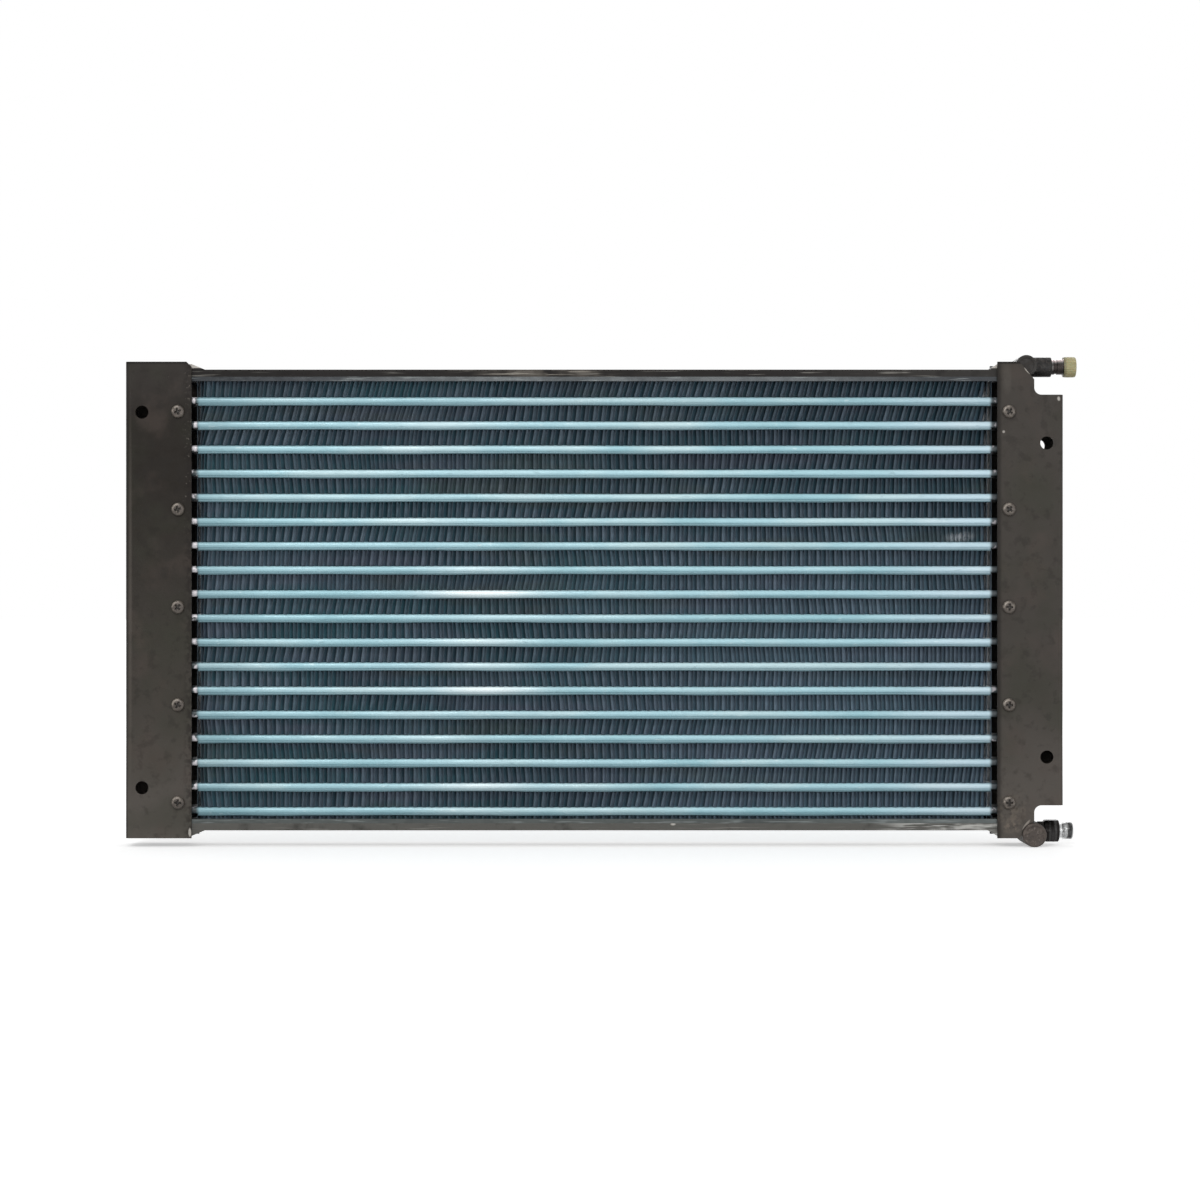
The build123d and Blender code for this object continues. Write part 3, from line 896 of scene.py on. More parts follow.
@dataclass
class SerpentineTube:
    """One flat extrusion, folded back and forth, with rounded noses."""

    runs: int = 18
    pitch: float = 22.0
    thickness: float = 6.0
    first_z: float = 182.0
    left_bend_x: float = 33.0
    right_bend_x: float = 789.5
    inlet_corner_x: float = 796.0
    outlet_corner_x: float = 800.0
    corner_radius: float = 10.0
    inlet_entry_z: float = 206.5
    outlet_entry_z: float = -205.0
    nose_depth: float = 1.9
    run_samples: int = 44
    bend_samples: int = 22
    nose_samples: int = 8
    wave: float = 0.12
    wave_seed: int = 41
    # Where a lamp's highlight is painted across the runs: its seed, its place and width, and the runs where
    # it is strongest.
    bleach_seed: int = 7
    highlight_x: float = 310.0
    highlight_width: float = 46.0
    highlight_runs: tuple[tuple[int, float], ...] = ((8, 1.0), (12, 0.9), (16, 0.65), (10, 0.5), (11, 0.45))
    left_dullness: float = 0.75
    top_dullness: float = 0.4
    braze_setback: float = 0.45
    braze_height: float = 1.7

    def arc(
        self, x: float, z: float, radius: float, start: float, end: float, run: float, ahead: float
    ) -> tuple[Array, Array, Array, Array]:
        """Works out an arc of the line, without its first and last point.

        Args:
            x: Place of its centre across the core.
            z: Height of its centre.
            radius: Its radius.
            start: The angle at which it starts, in degrees.
            end: The angle at which it ends.
            run: Run number for its samples.
            ahead: Degrees from a sample's angle to the tube's heading.

        Returns:
            X, Z, heading and run number for each sample.
        """
        angle = np.radians(np.linspace(start, end, self.bend_samples + 2)[1:-1])
        heading, number = angle + radians(ahead), np.full(len(angle), run)
        return x + radius * np.cos(angle), z + radius * np.sin(angle), heading, number

    def line(self) -> tuple[Array, Array, Array, Array]:
        """Works out the tube's middle line on the front plane.

        A run is a straight line with a slight wave. A bend or corner is an arc: its centre plus the radius
        times the cosine and sine of an angle, with the heading a quarter turn from that angle.

        Returns:
            X, Z, heading and run number for each sample.
        """
        noise = np.random.default_rng(self.wave_seed)
        corner = self.corner_radius
        last_z = self.first_z - (self.runs - 1) * self.pitch
        rise = np.linspace(self.inlet_entry_z, self.first_z + corner, 4)
        parts = [
            (np.full(4, self.inlet_corner_x + corner), rise, np.full(4, -pi / 2), np.zeros(4)),
            self.arc(self.inlet_corner_x, self.first_z + corner, corner, 0, -90, 0, -90),
        ]
        for run in range(self.runs):
            z = self.first_z - run * self.pitch
            right = {0: self.inlet_corner_x, self.runs - 1: self.outlet_corner_x}.get(run, self.right_bend_x)
            share = np.linspace(0, 1, self.run_samples)
            x = right + (self.left_bend_x - right) * share
            phase, turns = noise.uniform(0, tau), noise.uniform(1.5, 4.0)
            wave = self.wave * np.sin(pi * share) * np.sin(turns * tau * share + phase)
            leftwards = run % 2 == 0
            heading = np.full(self.run_samples, pi if leftwards else 0.0)
            order = slice(None) if leftwards else slice(None, None, -1)
            parts.append((x[order], z + wave[order], heading, np.full(self.run_samples, float(run))))
            if run < self.runs - 1:
                centre_x = self.left_bend_x if leftwards else self.right_bend_x
                end, ahead = (270, 90) if leftwards else (-90, -90)
                bend = self.pitch / 2
                parts.append(self.arc(centre_x, z - bend, bend, 90, end, run + 0.5, ahead))
        parts.append(self.arc(self.outlet_corner_x, last_z - corner, corner, 90, 0, self.runs - 1, -90))
        fall = np.array([last_z - corner, self.outlet_entry_z])
        last = np.full(2, float(self.runs - 1))
        parts.append((np.full(2, self.outlet_corner_x + corner), fall, np.full(2, -pi / 2), last))
        x, z, heading, run = (np.concatenate(column) for column in zip(*parts))
        return x, z, heading, run

    def section(self, front: float, back: float) -> tuple[Array, Array]:
        """Works out the flat section: two flats joined by half ovals, flatter than half circles.

        Args:
            front: Where the front nose is, in mm.
            back: Where the back nose is.

        Returns:
            Depth and height of each point round the section.
        """
        radius = self.thickness / 2
        angle = np.linspace(-pi / 2, pi / 2, self.nose_samples + 1)
        nose = self.nose_depth
        y = np.concatenate([back - nose + nose * np.cos(angle), front + nose - nose * np.cos(angle)])
        height = np.concatenate([radius * np.sin(angle), -radius * np.sin(angle)])
        return y, height

    def marks(self, x: Array, run: Array) -> tuple[Array, Array]:
        """Works out where a lamp's highlight is painted along the runs, and where the coating is dull.

        The painted highlight is a bell curve along the run, whose height is its own for each run. The
        dullness grows towards the left end, and the top run has more of it.

        Args:
            x: Place across the core for each sample.
            run: Run number for each sample.

        Returns:
            Painted highlight and dullness for each sample.
        """
        noise = np.random.default_rng(self.bleach_seed)
        height = noise.uniform(0.05, 0.4, self.runs + 1)
        middle = self.highlight_x + noise.uniform(-60, 60, self.runs + 1)
        for strong, amount in self.highlight_runs:
            height[strong], middle[strong] = amount, self.highlight_x
        near = run.astype(int)
        bleach = height[near] * np.exp(-(((x - middle[near]) / self.highlight_width) ** 2))
        dull = self.left_dullness * smooth_step(x, 130, 45)
        dull = np.clip(dull + np.where(run < 0.6, self.top_dullness, 0.0), 0, 1)
        return bleach, dull

    def braze_line(self, run: int, face: float, inwards: float) -> tuple[Array, Array]:
        """Works out the bead of braze that runs along the underside of a run, over the fins' crowns.

        Its section has five corners: how far each lies behind the core's face, in mm, and how far below the
        run, in shares of the bead's height. The height swells by 12% and 8% on two waves along the run.

        Args:
            run: The run's number.
            face: Where the core's face is, in mm.
            inwards: 1 if the core lies behind that face, or -1.

        Returns:
            Points of a closed shell, and X at each row.
        """
        x = np.linspace(self.left_bend_x + 17.5, self.right_bend_x - 16.0, self.run_samples)
        swell = 1 + 0.12 * np.sin(x / 37 + run) + 0.08 * np.sin(x / 11 + 2 * run)
        behind = self.braze_setback + np.array([0.0, 0.1, 0.5, 1.4, 1.8])
        below = np.array([-0.2, 0.6, 1.0, 1.0, -0.2]) * self.braze_height
        underside = self.first_z - run * self.pitch - self.thickness / 2
        shape = (len(x), len(behind))
        points = [
            np.broadcast_to(x[:, None], shape),
            np.broadcast_to(face + inwards * behind, shape),
            underside - swell[:, None] * below,
        ]
        return np.stack(points, axis=-1), x

    def build(self) -> bpy.types.Object:
        """Carries the section along the line, square to its heading, adds the braze, and dresses them."""
        low, high = mm_box("serpentine_tube")
        x, z, heading, run = self.line()
        y, height = self.section(low[1], high[1])
        lift = np.array([-np.sin(heading), np.cos(heading)])
        shape = (len(x), len(y))
        grid = np.stack(
            [
                x[:, None] + lift[0][:, None] * height,
                np.broadcast_to(y, shape),
                z[:, None] + lift[1][:, None] * height,
            ],
            axis=-1,
        )
        along = np.concatenate([[0], np.cumsum(np.hypot(np.diff(x), np.diff(z))), [0]])
        around = np.concatenate([[0], np.cumsum(np.hypot(np.diff(y), np.diff(height))), [0]])
        around[-1] = around[-2] + abs(y[0] - y[-1])
        bleach, dull = self.marks(x, run)
        surface = Surface()
        surface.add_shell(grid, along_mm=along, around_mm=around, bleach=bleach[:, None], dull=dull[:, None])
        for number in range(self.runs):
            for face, inwards in ((low[1], 1.0), (high[1], -1.0)):
                grid, x = self.braze_line(number, face, inwards)
                bleach, dull = self.marks(x, np.full(len(x), float(number)))
                surface.add_shell(grid, bleach=bleach[:, None], dull=dull[:, None])
        return surface.make("folded_flat_tube", TUBE.material(), ("serpentine_tube",), 60.0)


@dataclass
class FinPack:
    """Rows of thin strip, folded to and fro between the tube's runs and rippled through their depth."""

    rows: int = 19
    legs: int = 186
    sheet: float = 0.25
    setback: float = 0.7
    slide: float = 5.4
    slide_depth: float = 7.0
    slide_steps: int = 4
    fade: float = 12.0
    crown_rise: float = 1.2
    top_leans: tuple[float, ...] = (14.0, 17.0, 9.0)
    usual_lean: float = 3.0
    lean_limits: tuple[float, float] = (-10.0, 17.0)
    jitter: float = 0.22
    shade_spread: float = 0.13
    shade_wave: float = 0.12
    shade_wave_mm: float = 260.0
    crown_shade: float = 0.25
    seed: int = 23

    def lean(self, x: Array, noise: np.random.Generator, row: int) -> Array:
        """Works out how far a row's folds lean, as a tangent.

        The lean is a steady part, larger in the top rows, and two slow waves across the core: 6 degrees
        over 900 mm and 4 degrees over 300 mm.

        Args:
            x: Place across the core.
            noise: The row's random numbers.
            row: Row number, from the top.

        Returns:
            Tangent of the lean at each place.
        """
        steady = self.top_leans[row] if row < len(self.top_leans) else self.usual_lean
        phase = noise.uniform(0, tau, 2)
        degrees = steady + 6 * np.sin(tau * x / 900 + phase[0]) + 4 * np.sin(tau * x / 300 + phase[1])
        return np.tan(np.radians(np.clip(degrees, *self.lean_limits)))

    def strip(self, left: float, right: float, bottom: float, top: float) -> tuple[Array, Array]:
        """Works out the strip's folded line, four points for each leg.

        A leg goes from one end of its straight part to the other, and then two points of the flat crown
        lead to the next leg, each an eighth of the way from a leg. Every other leg runs downwards. The
        first and last leg stand at the row's ends and reach both runs of the tube.

        Args:
            left: Where the row starts, in mm.
            right: Where it ends.
            bottom: The lowest point of its crowns.
            top: Their highest point.

        Returns:
            X and Z of the line's points, as legs by four.
        """
        step = (right - left - self.sheet) / (self.legs - 1)
        x = left + self.sheet / 2 + np.arange(self.legs)[:, None] * step
        upwards = np.where(np.arange(self.legs) % 2 == 0, 1.0, -1.0)[:, None]
        reach = (top - bottom) / 2 - self.sheet / 2
        straight = reach - min(self.crown_rise, reach * 0.6)
        across = step * np.array([0.0, 0.0, 0.12, 0.88])
        height = np.tile([-straight, straight, reach, reach], (self.legs, 1))
        height[0, 0], height[-1, 1] = -reach, reach
        return x + across, (top + bottom) / 2 + upwards * height

    def row(self, number: int, finish: bpy.types.Material) -> bpy.types.Object:
        """Builds one row as a closed thin strip.

        The folded line is thickened by half the sheet to each side and leant over. Behind each face of the
        core it slides sideways, on a smooth step of the depth, by more than the gap between two legs, so
        the eye can't look through it. All that fades near the row's ends, where the last legs stand straight.

        Args:
            number: Row number, from the top.
            finish: The fins' material.

        Returns:
            The row's object.
        """
        node = f"fin_row_{number + 1:02d}"
        low, high = mm_box(node)
        noise = np.random.default_rng(self.seed + number)
        x, z = self.strip(low[0], high[0], low[2], high[2])
        line = np.stack([x.reshape(-1)[:-2], z.reshape(-1)[:-2]], axis=1)
        ahead = np.gradient(line, axis=0)
        ahead /= np.linalg.norm(ahead, axis=1, keepdims=True)
        side = np.stack([-ahead[:, 1], ahead[:, 0]], axis=1) * self.sheet / 2
        middle = (low[2] + high[2]) / 2
        near = np.linspace(0, self.slide_depth, self.slide_steps + 1)
        total = high[1] - low[1] - 2 * self.setback
        behind = np.concatenate([near, total - near[::-1]])
        behind = np.concatenate([behind, behind[::-1]])
        sign = np.repeat([1.0, -1.0], len(behind) // 2)
        inwards = smooth_step(np.minimum(behind, total - behind), 0.0, self.slide_depth)
        offset = self.slide * (inwards - 0.5)
        depth = low[1] + self.setback + behind
        inside = smooth_step(np.minimum(line[:, 0] - low[0], high[0] - line[:, 0]), 0.0, self.fade)
        lean = self.lean(line[:, 0], noise, number)
        jitter = np.repeat(noise.normal(0, self.jitter, self.legs), 4)[:-2]
        shape = (len(line), len(behind))
        shear = (jitter + lean * (line[:, 1] - middle))[:, None] + offset
        across = line[:, :1] + side[:, :1] * sign + inside[:, None] * shear
        across = np.clip(across, low[0], high[0])
        upright = np.clip(line[:, 1:] + side[:, 1:] * sign, low[2], high[2])
        grid = np.stack([across, np.broadcast_to(depth, shape), np.broadcast_to(upright, shape)], axis=-1)
        slow = self.shade_wave * np.sin(tau * line[:, 0] / self.shade_wave_mm + noise.uniform(0, tau))
        leg_shade = np.repeat(noise.normal(0.5, self.shade_spread, self.legs), 4)[:-2] + slow
        crown = np.abs(line[:, 1] - middle) / (high[2] - middle)
        # Towards the crowns each leg is painted darker, as shade next to the tube's runs.
        shade = np.clip(leg_shade - self.crown_shade * smooth_step(crown, 0.6, 1.0), 0, 1)
        # Marks the front and back edges, which are painted dark as shade.
        rim = (inwards <= 0).astype(float)[None, :]
        # One face of the strip is marked to be painted lighter, as a lit face.
        painted_lit_face = (sign > 0).astype(float)[None, :]
        surface = Surface()
        surface.add_shell(grid, side=painted_lit_face, shade=shade[:, None], rim=rim)
        return surface.make(f"folded_fins_{number + 1:02d}", finish, (node,), 75.0)

    def build(self) -> None:
        """Builds every row in one finish."""
        finish = FIN.material()
        for number in range(self.rows):
            self.row(number, finish)


@dataclass
class BracketScrews:
    """Pan head screws with a cross recess, run through both walls of the brackets."""

    shank: float = 3.0
    head: float = 6.0
    crown: float = 4.3
    head_height: float = 3.8
    recess_depth: float = 2.0
    recess_reach: float = 3.3
    thread_pitch: float = 1.0
    thread_depth: float = 0.45
    thread_length: float = 9.0
    rubbed_at: float = 130.0
    seed: int = 5
    columns: int = 64

    def profile(self, tail: float) -> tuple[Array, Array]:
        """Works out half the section of a screw, from the head's middle to the tip.

        Args:
            tail: Where the tip is, in mm behind the bracket's face.

        Returns:
            Length along the axis and radius for each row.
        """
        crown = np.linspace(0.2, self.crown, 16)
        rim = np.linspace(0, pi / 2, 6)[1:]
        head_y = -self.head_height + 0.4 * (crown / self.crown) ** 2
        rim_y = head_y[-1] + (1 - np.cos(rim)) * 2.6
        thread = np.arange(tail - self.thread_length, tail - 0.6, self.thread_pitch / 5)
        y = np.concatenate([head_y, rim_y, [0.0, 0.0], [1.0], thread, [tail - 0.5, tail]])
        radius = np.concatenate(
            [
                crown,
                self.crown + (self.head - self.crown) * np.sin(rim),
                [self.head - 0.1, self.shank + 0.1],
                [self.shank],
                np.full(len(thread), self.shank),
                [self.shank - 0.1, self.shank - 0.7],
            ]
        )
        return y, radius

    def build(self) -> bpy.types.Object:
        """Builds all screws as one piece of separate shells, each turned by its own angle.

        The cross recess is pressed into the head where a point is near one arm of the cross and within its
        reach, and is painted near black as shade. The painted highlight is a crescent on the head's rim,
        round one angle that all screws share.
        """
        tail = mm_box("bracket_screws")[1][1]
        noise = np.random.default_rng(self.seed)
        y, radius = self.profile(tail)
        threaded = (y > tail - self.thread_length) & (y < tail - 0.55)
        wide = np.repeat(radius[:, None], self.columns, axis=1)
        wide[threaded] = screw_thread(
            y[threaded], self.shank, self.thread_pitch, self.thread_depth, self.columns
        )
        surface = Surface()
        for x, z in SCREW_SPOTS:
            spin = noise.uniform(0, pi / 2)
            grid = turned(Direction.BACK, (x, 0.0, z), y, wide, self.columns)
            turn = tau * np.arange(self.columns)[None, :] / self.columns + spin
            side, up = np.abs(wide * np.cos(turn)), np.abs(wide * np.sin(turn))
            arms = [
                smooth_step(thin, 0.95, 0.5) * smooth_step(far, self.recess_reach, self.recess_reach - 0.8)
                for thin, far in ((side, up), (up, side))
            ]
            recess = np.maximum(*arms) * (y < -0.9)[:, None]
            grid[..., 1] += self.recess_depth * recess
            # Painted highlight: a crescent on the head's rim, round one angle that all screws share.
            rim = smooth_step(wide, 3.4, 4.8) * (y < -0.2)[:, None]
            near = smooth_step(np.cos(turn - spin - radians(self.rubbed_at)), 0.35, 0.9)
            surface.add_shell(grid, recess=recess, rubbed=rim * near)
        finish = SCREW_STEEL.material()
        return surface.make("cross_recess_screws", finish, ("bracket_screws",), 40.0)


@dataclass
class ScrewNuts:
    """Chamfered hexagon nuts behind the brackets."""

    flats: float = 10.0
    bore: float = 3.02
    columns: int = 48

    def build(self) -> bpy.types.Object:
        """Builds each nut as a ring whose outer radius is the hexagon's, cut back by a cone at both faces."""
        low, high = mm_box("screw_nuts")
        edge = hexagon(self.flats, self.columns)
        steps = np.array([0.0, 0.0, 0.35, 0.7])
        cone = np.array([4.75, 5.0, 5.45, 6.0])
        middle = (low[1] + high[1]) / 2
        y = np.concatenate(
            [low[1] + steps, [middle], high[1] - steps[::-1], [high[1] - 0.02, low[1] + 0.02]]
        )
        limit = np.concatenate([cone, [self.flats], cone[::-1], [self.bore, self.bore]])
        radius = np.minimum(limit[:, None], edge[None, :])
        none = np.zeros(radius.shape)
        surface = Surface()
        for x, z in SCREW_SPOTS:
            grid = turned(Direction.BACK, (x, 0.0, z), y, radius, self.columns)
            surface.add_shell(grid, ring=True, recess=none, rubbed=none)
        finish = bpy.data.materials[SCREW_STEEL.name]
        return surface.make("hexagon_nuts", finish, ("screw_nuts",), 25.0)


@dataclass
class Ports:
    """Both refrigerant ports at the right: drums, pipes, fittings and the dust cap."""

    middle: float = 26.5
    bore: float = 4.5
    thread_radius: float = 7.95
    thread_pitch: float = 1.41
    thread_depth: float = 0.8
    cap_outer: float = 9.2
    cap_inner: float = 8.05
    cap_floor: float = 2.0
    cap_ribs: int = 26
    rib_height: float = 0.15
    columns: int = 72

    def drum(self, node: str, finish: bpy.types.Material) -> bpy.types.Object:
        """Builds a header drum: a tube closed by two slightly dished ends with raised, rounded rims.

        Args:
            node: The drum's CAD node.
            finish: Its material.

        Returns:
            The drum's object.
        """
        low, high = mm_box(node)
        front, back = low[1], high[1]
        x, _, z = (low + high) / 2
        r = (high[0] - low[0]) / 2 - 0.02
        end = [(1.1, 0.4), (1.1, r - 3.4), (0.15, r - 2.2), (0.0, r - 0.9), (0.9, r)]
        outline = [(front + y, radius) for y, radius in end] + [(back - y, radius) for y, radius in end[::-1]]
        profile = soften(outline, 0.7)
        grid = turned(Direction.BACK, (x, 0.0, z), profile[:, 0], profile[:, 1], self.columns)
        surface = Surface()
        surface.add_shell(grid)
        return surface.make(f"{node}_drum", finish, (node,), 40.0)

    def braze(self, header: str, radius: float, thick: float, z: float) -> Array:
        """Works out the bead of braze where a pipe meets its drum.

        The bead follows the line on which both round surfaces meet: at angle a round the pipe, its depth is
        the pipe's radius times cos a, its height is that radius times sin a, and it stands from the drum's
        axis by the square root of the drum's radius squared less its height over that axis squared. Round the
        pipe it swells by 12% and 8%, on five and on eleven waves.

        Args:
            header: The drum's CAD node.
            radius: The pipe's radius.
            thick: The bead's own radius.
            z: Height of the pipe's axis.

        Returns:
            Points of a closed ring, as rows by columns by three.
        """
        low, high = mm_box(header)
        drum = (high[0] - low[0]) / 2
        drum_x, _, drum_z = (low + high) / 2
        angle = tau * np.arange(self.columns) / self.columns
        ring = tau * np.arange(10)[None, :] / 10
        lumps = thick * (1 + 0.12 * np.sin(5 * angle + 1) + 0.08 * np.sin(11 * angle))[:, None]
        out = radius - 0.25 * thick + lumps * np.cos(ring)
        height = np.clip(z + out * np.sin(angle)[:, None], low[2] + 0.05, high[2] - 0.05)
        over = np.clip(np.abs(height - drum_z), 0, drum - 0.3)
        x = drum_x + np.sqrt(drum ** 2 - over ** 2) + lumps * np.sin(ring)
        return np.stack([x, self.middle + out * np.cos(angle)[:, None], height], axis=-1)

    def pipe(self, node: str, header: str, finish: bpy.types.Material) -> bpy.types.Object:
        """Builds a pipe stub with a bore and rounded ends, from inside the drum's wall, and its braze.

        Args:
            node: The pipe's CAD node.
            header: The CAD node of its drum.
            finish: Its material.

        Returns:
            The pipe's object.
        """
        low, high = mm_box(node)
        radius, z, end = (high[2] - low[2]) / 2, (low[2] + high[2]) / 2, high[0]
        start = mm_box(header)[1][0] - 4.5
        outline = [(start, self.bore), (start, radius), (end, radius), (end, self.bore)]
        profile = soften(outline, 0.8, ring=True)
        grid = turned(Direction.RIGHT, (0.0, self.middle, z), profile[:, 0], profile[:, 1], self.columns)
        surface = Surface()
        surface.add_shell(grid, ring=True)
        surface.add_shell(self.braze(header, radius, 1.0, z), ring=True)
        return surface.make(f"{node}_brazed", finish, (node,), 40.0)

    def thread(self, start: float, end: float) -> tuple[Array, Array]:
        """Works out a male thread that is chamfered at its end and bored through.

        Args:
            start: Where the thread starts, in mm.
            end: Where the fitting ends.

        Returns:
            Length along the axis and radius, for each row and column.
        """
        along = np.arange(start + 0.3, end - 0.9, self.thread_pitch / 6)
        radius = screw_thread(along, self.thread_radius, self.thread_pitch, self.thread_depth, self.columns)
        tip = np.array([end - 0.7, end, end, end - 0.8])
        outer, bore = self.thread_radius, self.bore
        tip_radius = np.array([outer - 0.5, outer - 1.3, bore + 1.0, bore])
        along = np.concatenate([along, tip])
        radius = np.concatenate([radius, np.repeat(tip_radius[:, None], self.columns, axis=1)])
        return along, radius

    def rounds(self, rows: list[tuple[float, float]]) -> tuple[Array, Array]:
        """Turns rows of length and radius to arrays that are the same in every column."""
        given = np.array(rows)
        return given[:, 0], np.repeat(given[:, 1:], self.columns, axis=1)

    def fitting(
        self, node: str, parts: list[tuple[Array, Array]], finish: bpy.types.Material
    ) -> bpy.types.Object:
        """Joins turned parts to one closed ring that returns through the bore.

        Args:
            node: The CAD node that it stands for.
            parts: Length and radius arrays in order along the axis, the last one ending in the bore.
            finish: Its material.

        Returns:
            The fitting's object.
        """
        low, high = mm_box(node)
        z = (low[2] + high[2]) / 2
        start = float(parts[0][0][0])
        back, back_radius = self.rounds([(start + 0.5, self.bore), (start, self.bore + 0.01)])
        along = np.concatenate([part[0] for part in parts] + [back])
        radius = np.concatenate([part[1] for part in parts] + [back_radius])
        grid = turned(Direction.RIGHT, (0.0, self.middle, z), along, radius, self.columns)
        surface = Surface()
        surface.add_shell(grid, ring=True)
        return surface.make(f"{node}_turned", finish, (node,), 30.0)

    def inlet_profile(self) -> list[tuple[Array, Array]]:
        """Works out the inlet's neck with its turned groove, and the thread under the cap."""
        neck = self.rounds(
            [
                (831.5, 6.3), (831.9, 6.85), (834.2, 6.85), (834.6, 6.2),
                (836.4, 6.2), (836.8, 6.85), (841.6, 6.85), (842.2, 7.0),
            ]
        )
        return [neck, self.thread(842.5, 852.0)]

    def outlet_profile(self) -> list[tuple[Array, Array]]:
        """Works out the outlet's chamfered hexagon, undercut and thread."""
        steps = np.array([825.0, 825.0, 825.5, 826.2, 831.7, 837.3, 838.0, 838.5, 838.5])
        limit = np.array([8.6, 9.4, 10.2, 11.6, 12.0, 11.6, 10.2, 9.4, 7.2])
        flats = np.minimum(limit[:, None], hexagon(19.5, self.columns)[None, :])
        groove = self.rounds([(838.6, 6.5), (841.4, 6.5), (841.9, 7.1)])
        return [(steps, flats), groove, self.thread(842.0, 851.2)]

    def cap(self) -> bpy.types.Object:
        """Builds the dust cap: a cup whose side has grip ribs.

        The ribs are a cosine wave round the side, which fades towards both edges.
        """
        low, high = mm_box("inlet_cap")
        z = (low[2] + high[2]) / 2
        outer, inner = self.cap_outer, self.cap_inner
        start, end, floor = low[0], high[0], high[0] - self.cap_floor
        outline = [(floor, 0.3), (floor, inner), (start, inner), (start, outer), (end, outer), (end, 0.3)]
        profile = soften(outline, 1.3, steps=6)
        side = np.linspace(start + 1.5, end - 1.5, 10)
        outermost = np.flatnonzero(profile[:, 1] > outer - 0.001)
        before, after = profile[:outermost[0] + 1], profile[outermost[-1]:]
        along = np.concatenate([before[:, 0], side, after[:, 0]])
        plain = np.concatenate([before[:, 1], np.full(len(side), outer), after[:, 1]])
        columns = self.columns * 2
        angle = tau * np.arange(columns)[None, :] / columns
        fade = smooth_step(along, start + 0.8, start + 2.4) * smooth_step(along, end - 0.8, end - 2.4)
        ribs = self.rib_height * np.cos(self.cap_ribs * angle) * (fade * (plain > outer - 0.01))[:, None]
        grid = turned(Direction.RIGHT, (0.0, self.middle, z), along, plain[:, None] + ribs, columns)
        surface = Surface()
        surface.add_shell(grid)
        return surface.make("ribbed_dust_cap", CAP_PLASTIC.material(), ("inlet_cap",), 50.0)

    def build(self) -> None:
        """Builds both ports, from the drums outwards."""
        drum_finish, port_finish, bare_finish = (
            finish.material() for finish in (DRUM_PAINT, PORT_PAINT, BARE_FITTING)
        )
        for port in ("inlet", "outlet"):
            self.drum(f"{port}_header", drum_finish)
        for port in ("inlet", "outlet"):
            self.pipe(f"{port}_pipe", f"{port}_header", port_finish)
        self.fitting("inlet_fitting", self.inlet_profile(), bare_finish)
        self.fitting("outlet_fitting", self.outlet_profile(), bare_finish)
        self.cap()


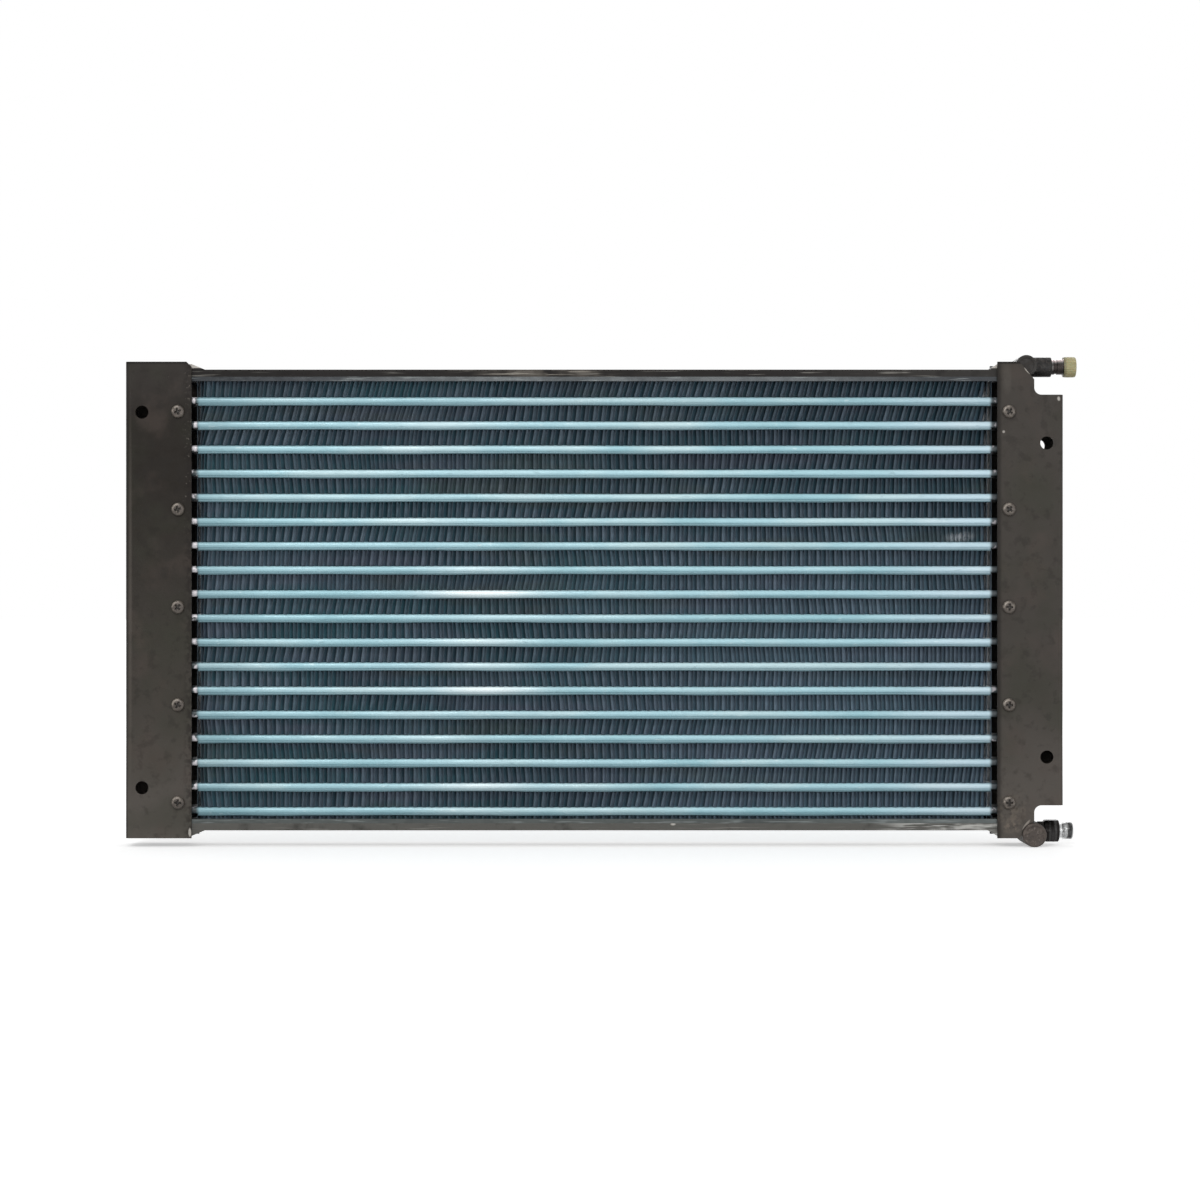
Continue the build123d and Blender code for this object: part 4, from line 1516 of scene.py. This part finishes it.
@dataclass
class Studio:
    """Camera, lamps, world and floor: soft light in front of white paper."""

    distance: float = 2.6
    view_width: float = 1.0944
    sensor_mm: float = 36.0
    front_metal_y: float = 0.0045
    world_strength: float = 0.5
    floor_colour: str = "#F4F4F4"
    floor_reach: float = 30.0
    glow_from: float = 1.0
    glow_to: float = 2.6
    near_glow: float = 0.45

    def camera(self) -> None:
        """Sets the camera square to the front, level with the middle, as far as the hole's parallax says."""
        data = bpy.data.cameras.new("camera")
        data.sensor_width = self.sensor_mm
        data.lens = self.sensor_mm * self.distance / self.view_width
        placed = bpy.data.objects.new("camera", data)
        placed.location = (FRONT_MIDDLE_X * MM, self.front_metal_y - self.distance, 0.0)
        placed.rotation_euler = (pi / 2, 0.0, 0.0)
        bpy.context.scene.collection.objects.link(placed)
        bpy.context.scene.camera = placed

    def lamp(
        self, name: str, place: tuple[float, float, float], size: tuple[float, float], watts: float
    ) -> None:
        """Adds a flat lamp that faces the middle of the object.

        Args:
            name: The lamp's name.
            place: Where it is, in metres.
            size: Its width and height.
            watts: Its power.
        """
        data = bpy.data.lights.new(name, "AREA")
        data.shape = "RECTANGLE"
        data.size, data.size_y = size
        data.energy = watts
        placed = bpy.data.objects.new(name, data)
        placed.location = place
        aim = Vector((FRONT_MIDDLE_X * MM, 0.02, 0.0)) - Vector(place)
        placed.rotation_euler = aim.to_track_quat("-Z", "Y").to_euler()
        bpy.context.scene.collection.objects.link(placed)

    def white_when_seen(self, tree: Tree) -> Socket:
        """Gives 1 for rays from the camera, off gloss and through glass, and 0 for the light's own rays."""
        path = add_node(tree, "ShaderNodeLightPath")
        seen = add_node(
            tree,
            "ShaderNodeMath",
            {"operation": "MAXIMUM"},
            {0: path.outputs["Is Camera Ray"], 1: path.outputs["Is Glossy Ray"]},
        )
        return add_node(
            tree,
            "ShaderNodeMath",
            {"operation": "MAXIMUM"},
            {0: seen.outputs[0], 1: path.outputs["Is Transmission Ray"]},
        ).outputs[0]

    def world(self) -> None:
        """Fills the world with white: full strength when seen, and dimmer as a light."""
        world = bpy.data.worlds.new("studio")
        bpy.context.scene.world = world
        world.use_nodes = True
        tree = world.node_tree
        tree.nodes.clear()
        strength = add_node(
            tree,
            "ShaderNodeMapRange",
            {"To Min": self.world_strength, "To Max": 1.0},
            {"Value": self.white_when_seen(tree)},
        )
        back = add_node(
            tree, "ShaderNodeBackground", {"Color": (1.0, 1.0, 1.0, 1.0)}, {"Strength": strength.outputs[0]}
        )
        add_node(tree, "ShaderNodeOutputWorld", links={0: back.outputs[0]})

    def floor(self) -> None:
        """Lays a wide floor under the lowest point: matt paper that clips to white but keeps a shadow."""
        made = bpy.data.materials.new("white_paper_floor")
        made.use_nodes = True
        tree = made.node_tree
        tree.nodes.clear()
        paper = add_node(tree, "ShaderNodeBsdfDiffuse", {"Color": linear(self.floor_colour)})
        place = add_node(tree, "ShaderNodeTexCoord").outputs["Object"]
        length = add_node(tree, "ShaderNodeVectorMath", {"operation": "LENGTH"}, {0: place})
        far = add_node(
            tree,
            "ShaderNodeMapRange",
            {"From Min": self.glow_from, "From Max": self.glow_to, "To Min": self.near_glow, "To Max": 1.0},
            {"Value": length.outputs["Value"]},
        )
        glow = add_node(
            tree,
            "ShaderNodeMath",
            {"operation": "MULTIPLY"},
            {0: self.white_when_seen(tree), 1: far.outputs[0]},
        )
        light = add_node(tree, "ShaderNodeEmission", links={"Strength": glow.outputs[0]})
        both = add_node(tree, "ShaderNodeAddShader", links={0: paper.outputs[0], 1: light.outputs[0]})
        add_node(tree, "ShaderNodeOutputMaterial", links={0: both.outputs[0]})
        level, reach = CAD_BOX[0][2], self.floor_reach
        mesh = bpy.data.meshes.new("floor")
        mesh.from_pydata(
            [(-reach, -reach, level), (reach, -reach, level), (reach, reach, level), (-reach, reach, level)],
            [],
            [(0, 1, 2, 3)],
        )
        mesh.materials.append(made)
        sheet = bpy.data.objects.new("floor", mesh)
        bpy.context.scene.collection.objects.link(sheet)

    def build(self) -> None:
        """Sets up the whole studio."""
        self.camera()
        self.world()
        self.floor()
        self.lamp("key", (-0.25, -2.3, 1.5), (1.5, 1.0), 23.0)
        self.lamp("fill", (1.9, -2.1, 0.3), (1.4, 1.0), 9.0)
        self.lamp("streak", (0.20, -2.5, 0.35), (0.5, 0.5), 3.0)
        self.lamp("rear", (0.6, 2.4, 1.2), (1.6, 1.2), 20.0)
        bpy.context.scene.view_settings.view_transform = "Standard"


def main() -> None:
    logging.basicConfig(level=logging.INFO, format="%(name)s: %(message)s")
    Studio().build()
    CoreFrame().dress()
    SerpentineTube().build()
    FinPack().build()
    BracketScrews().build()
    ScrewNuts().build()
    Ports().build()


if __name__ == "__main__":
    main()
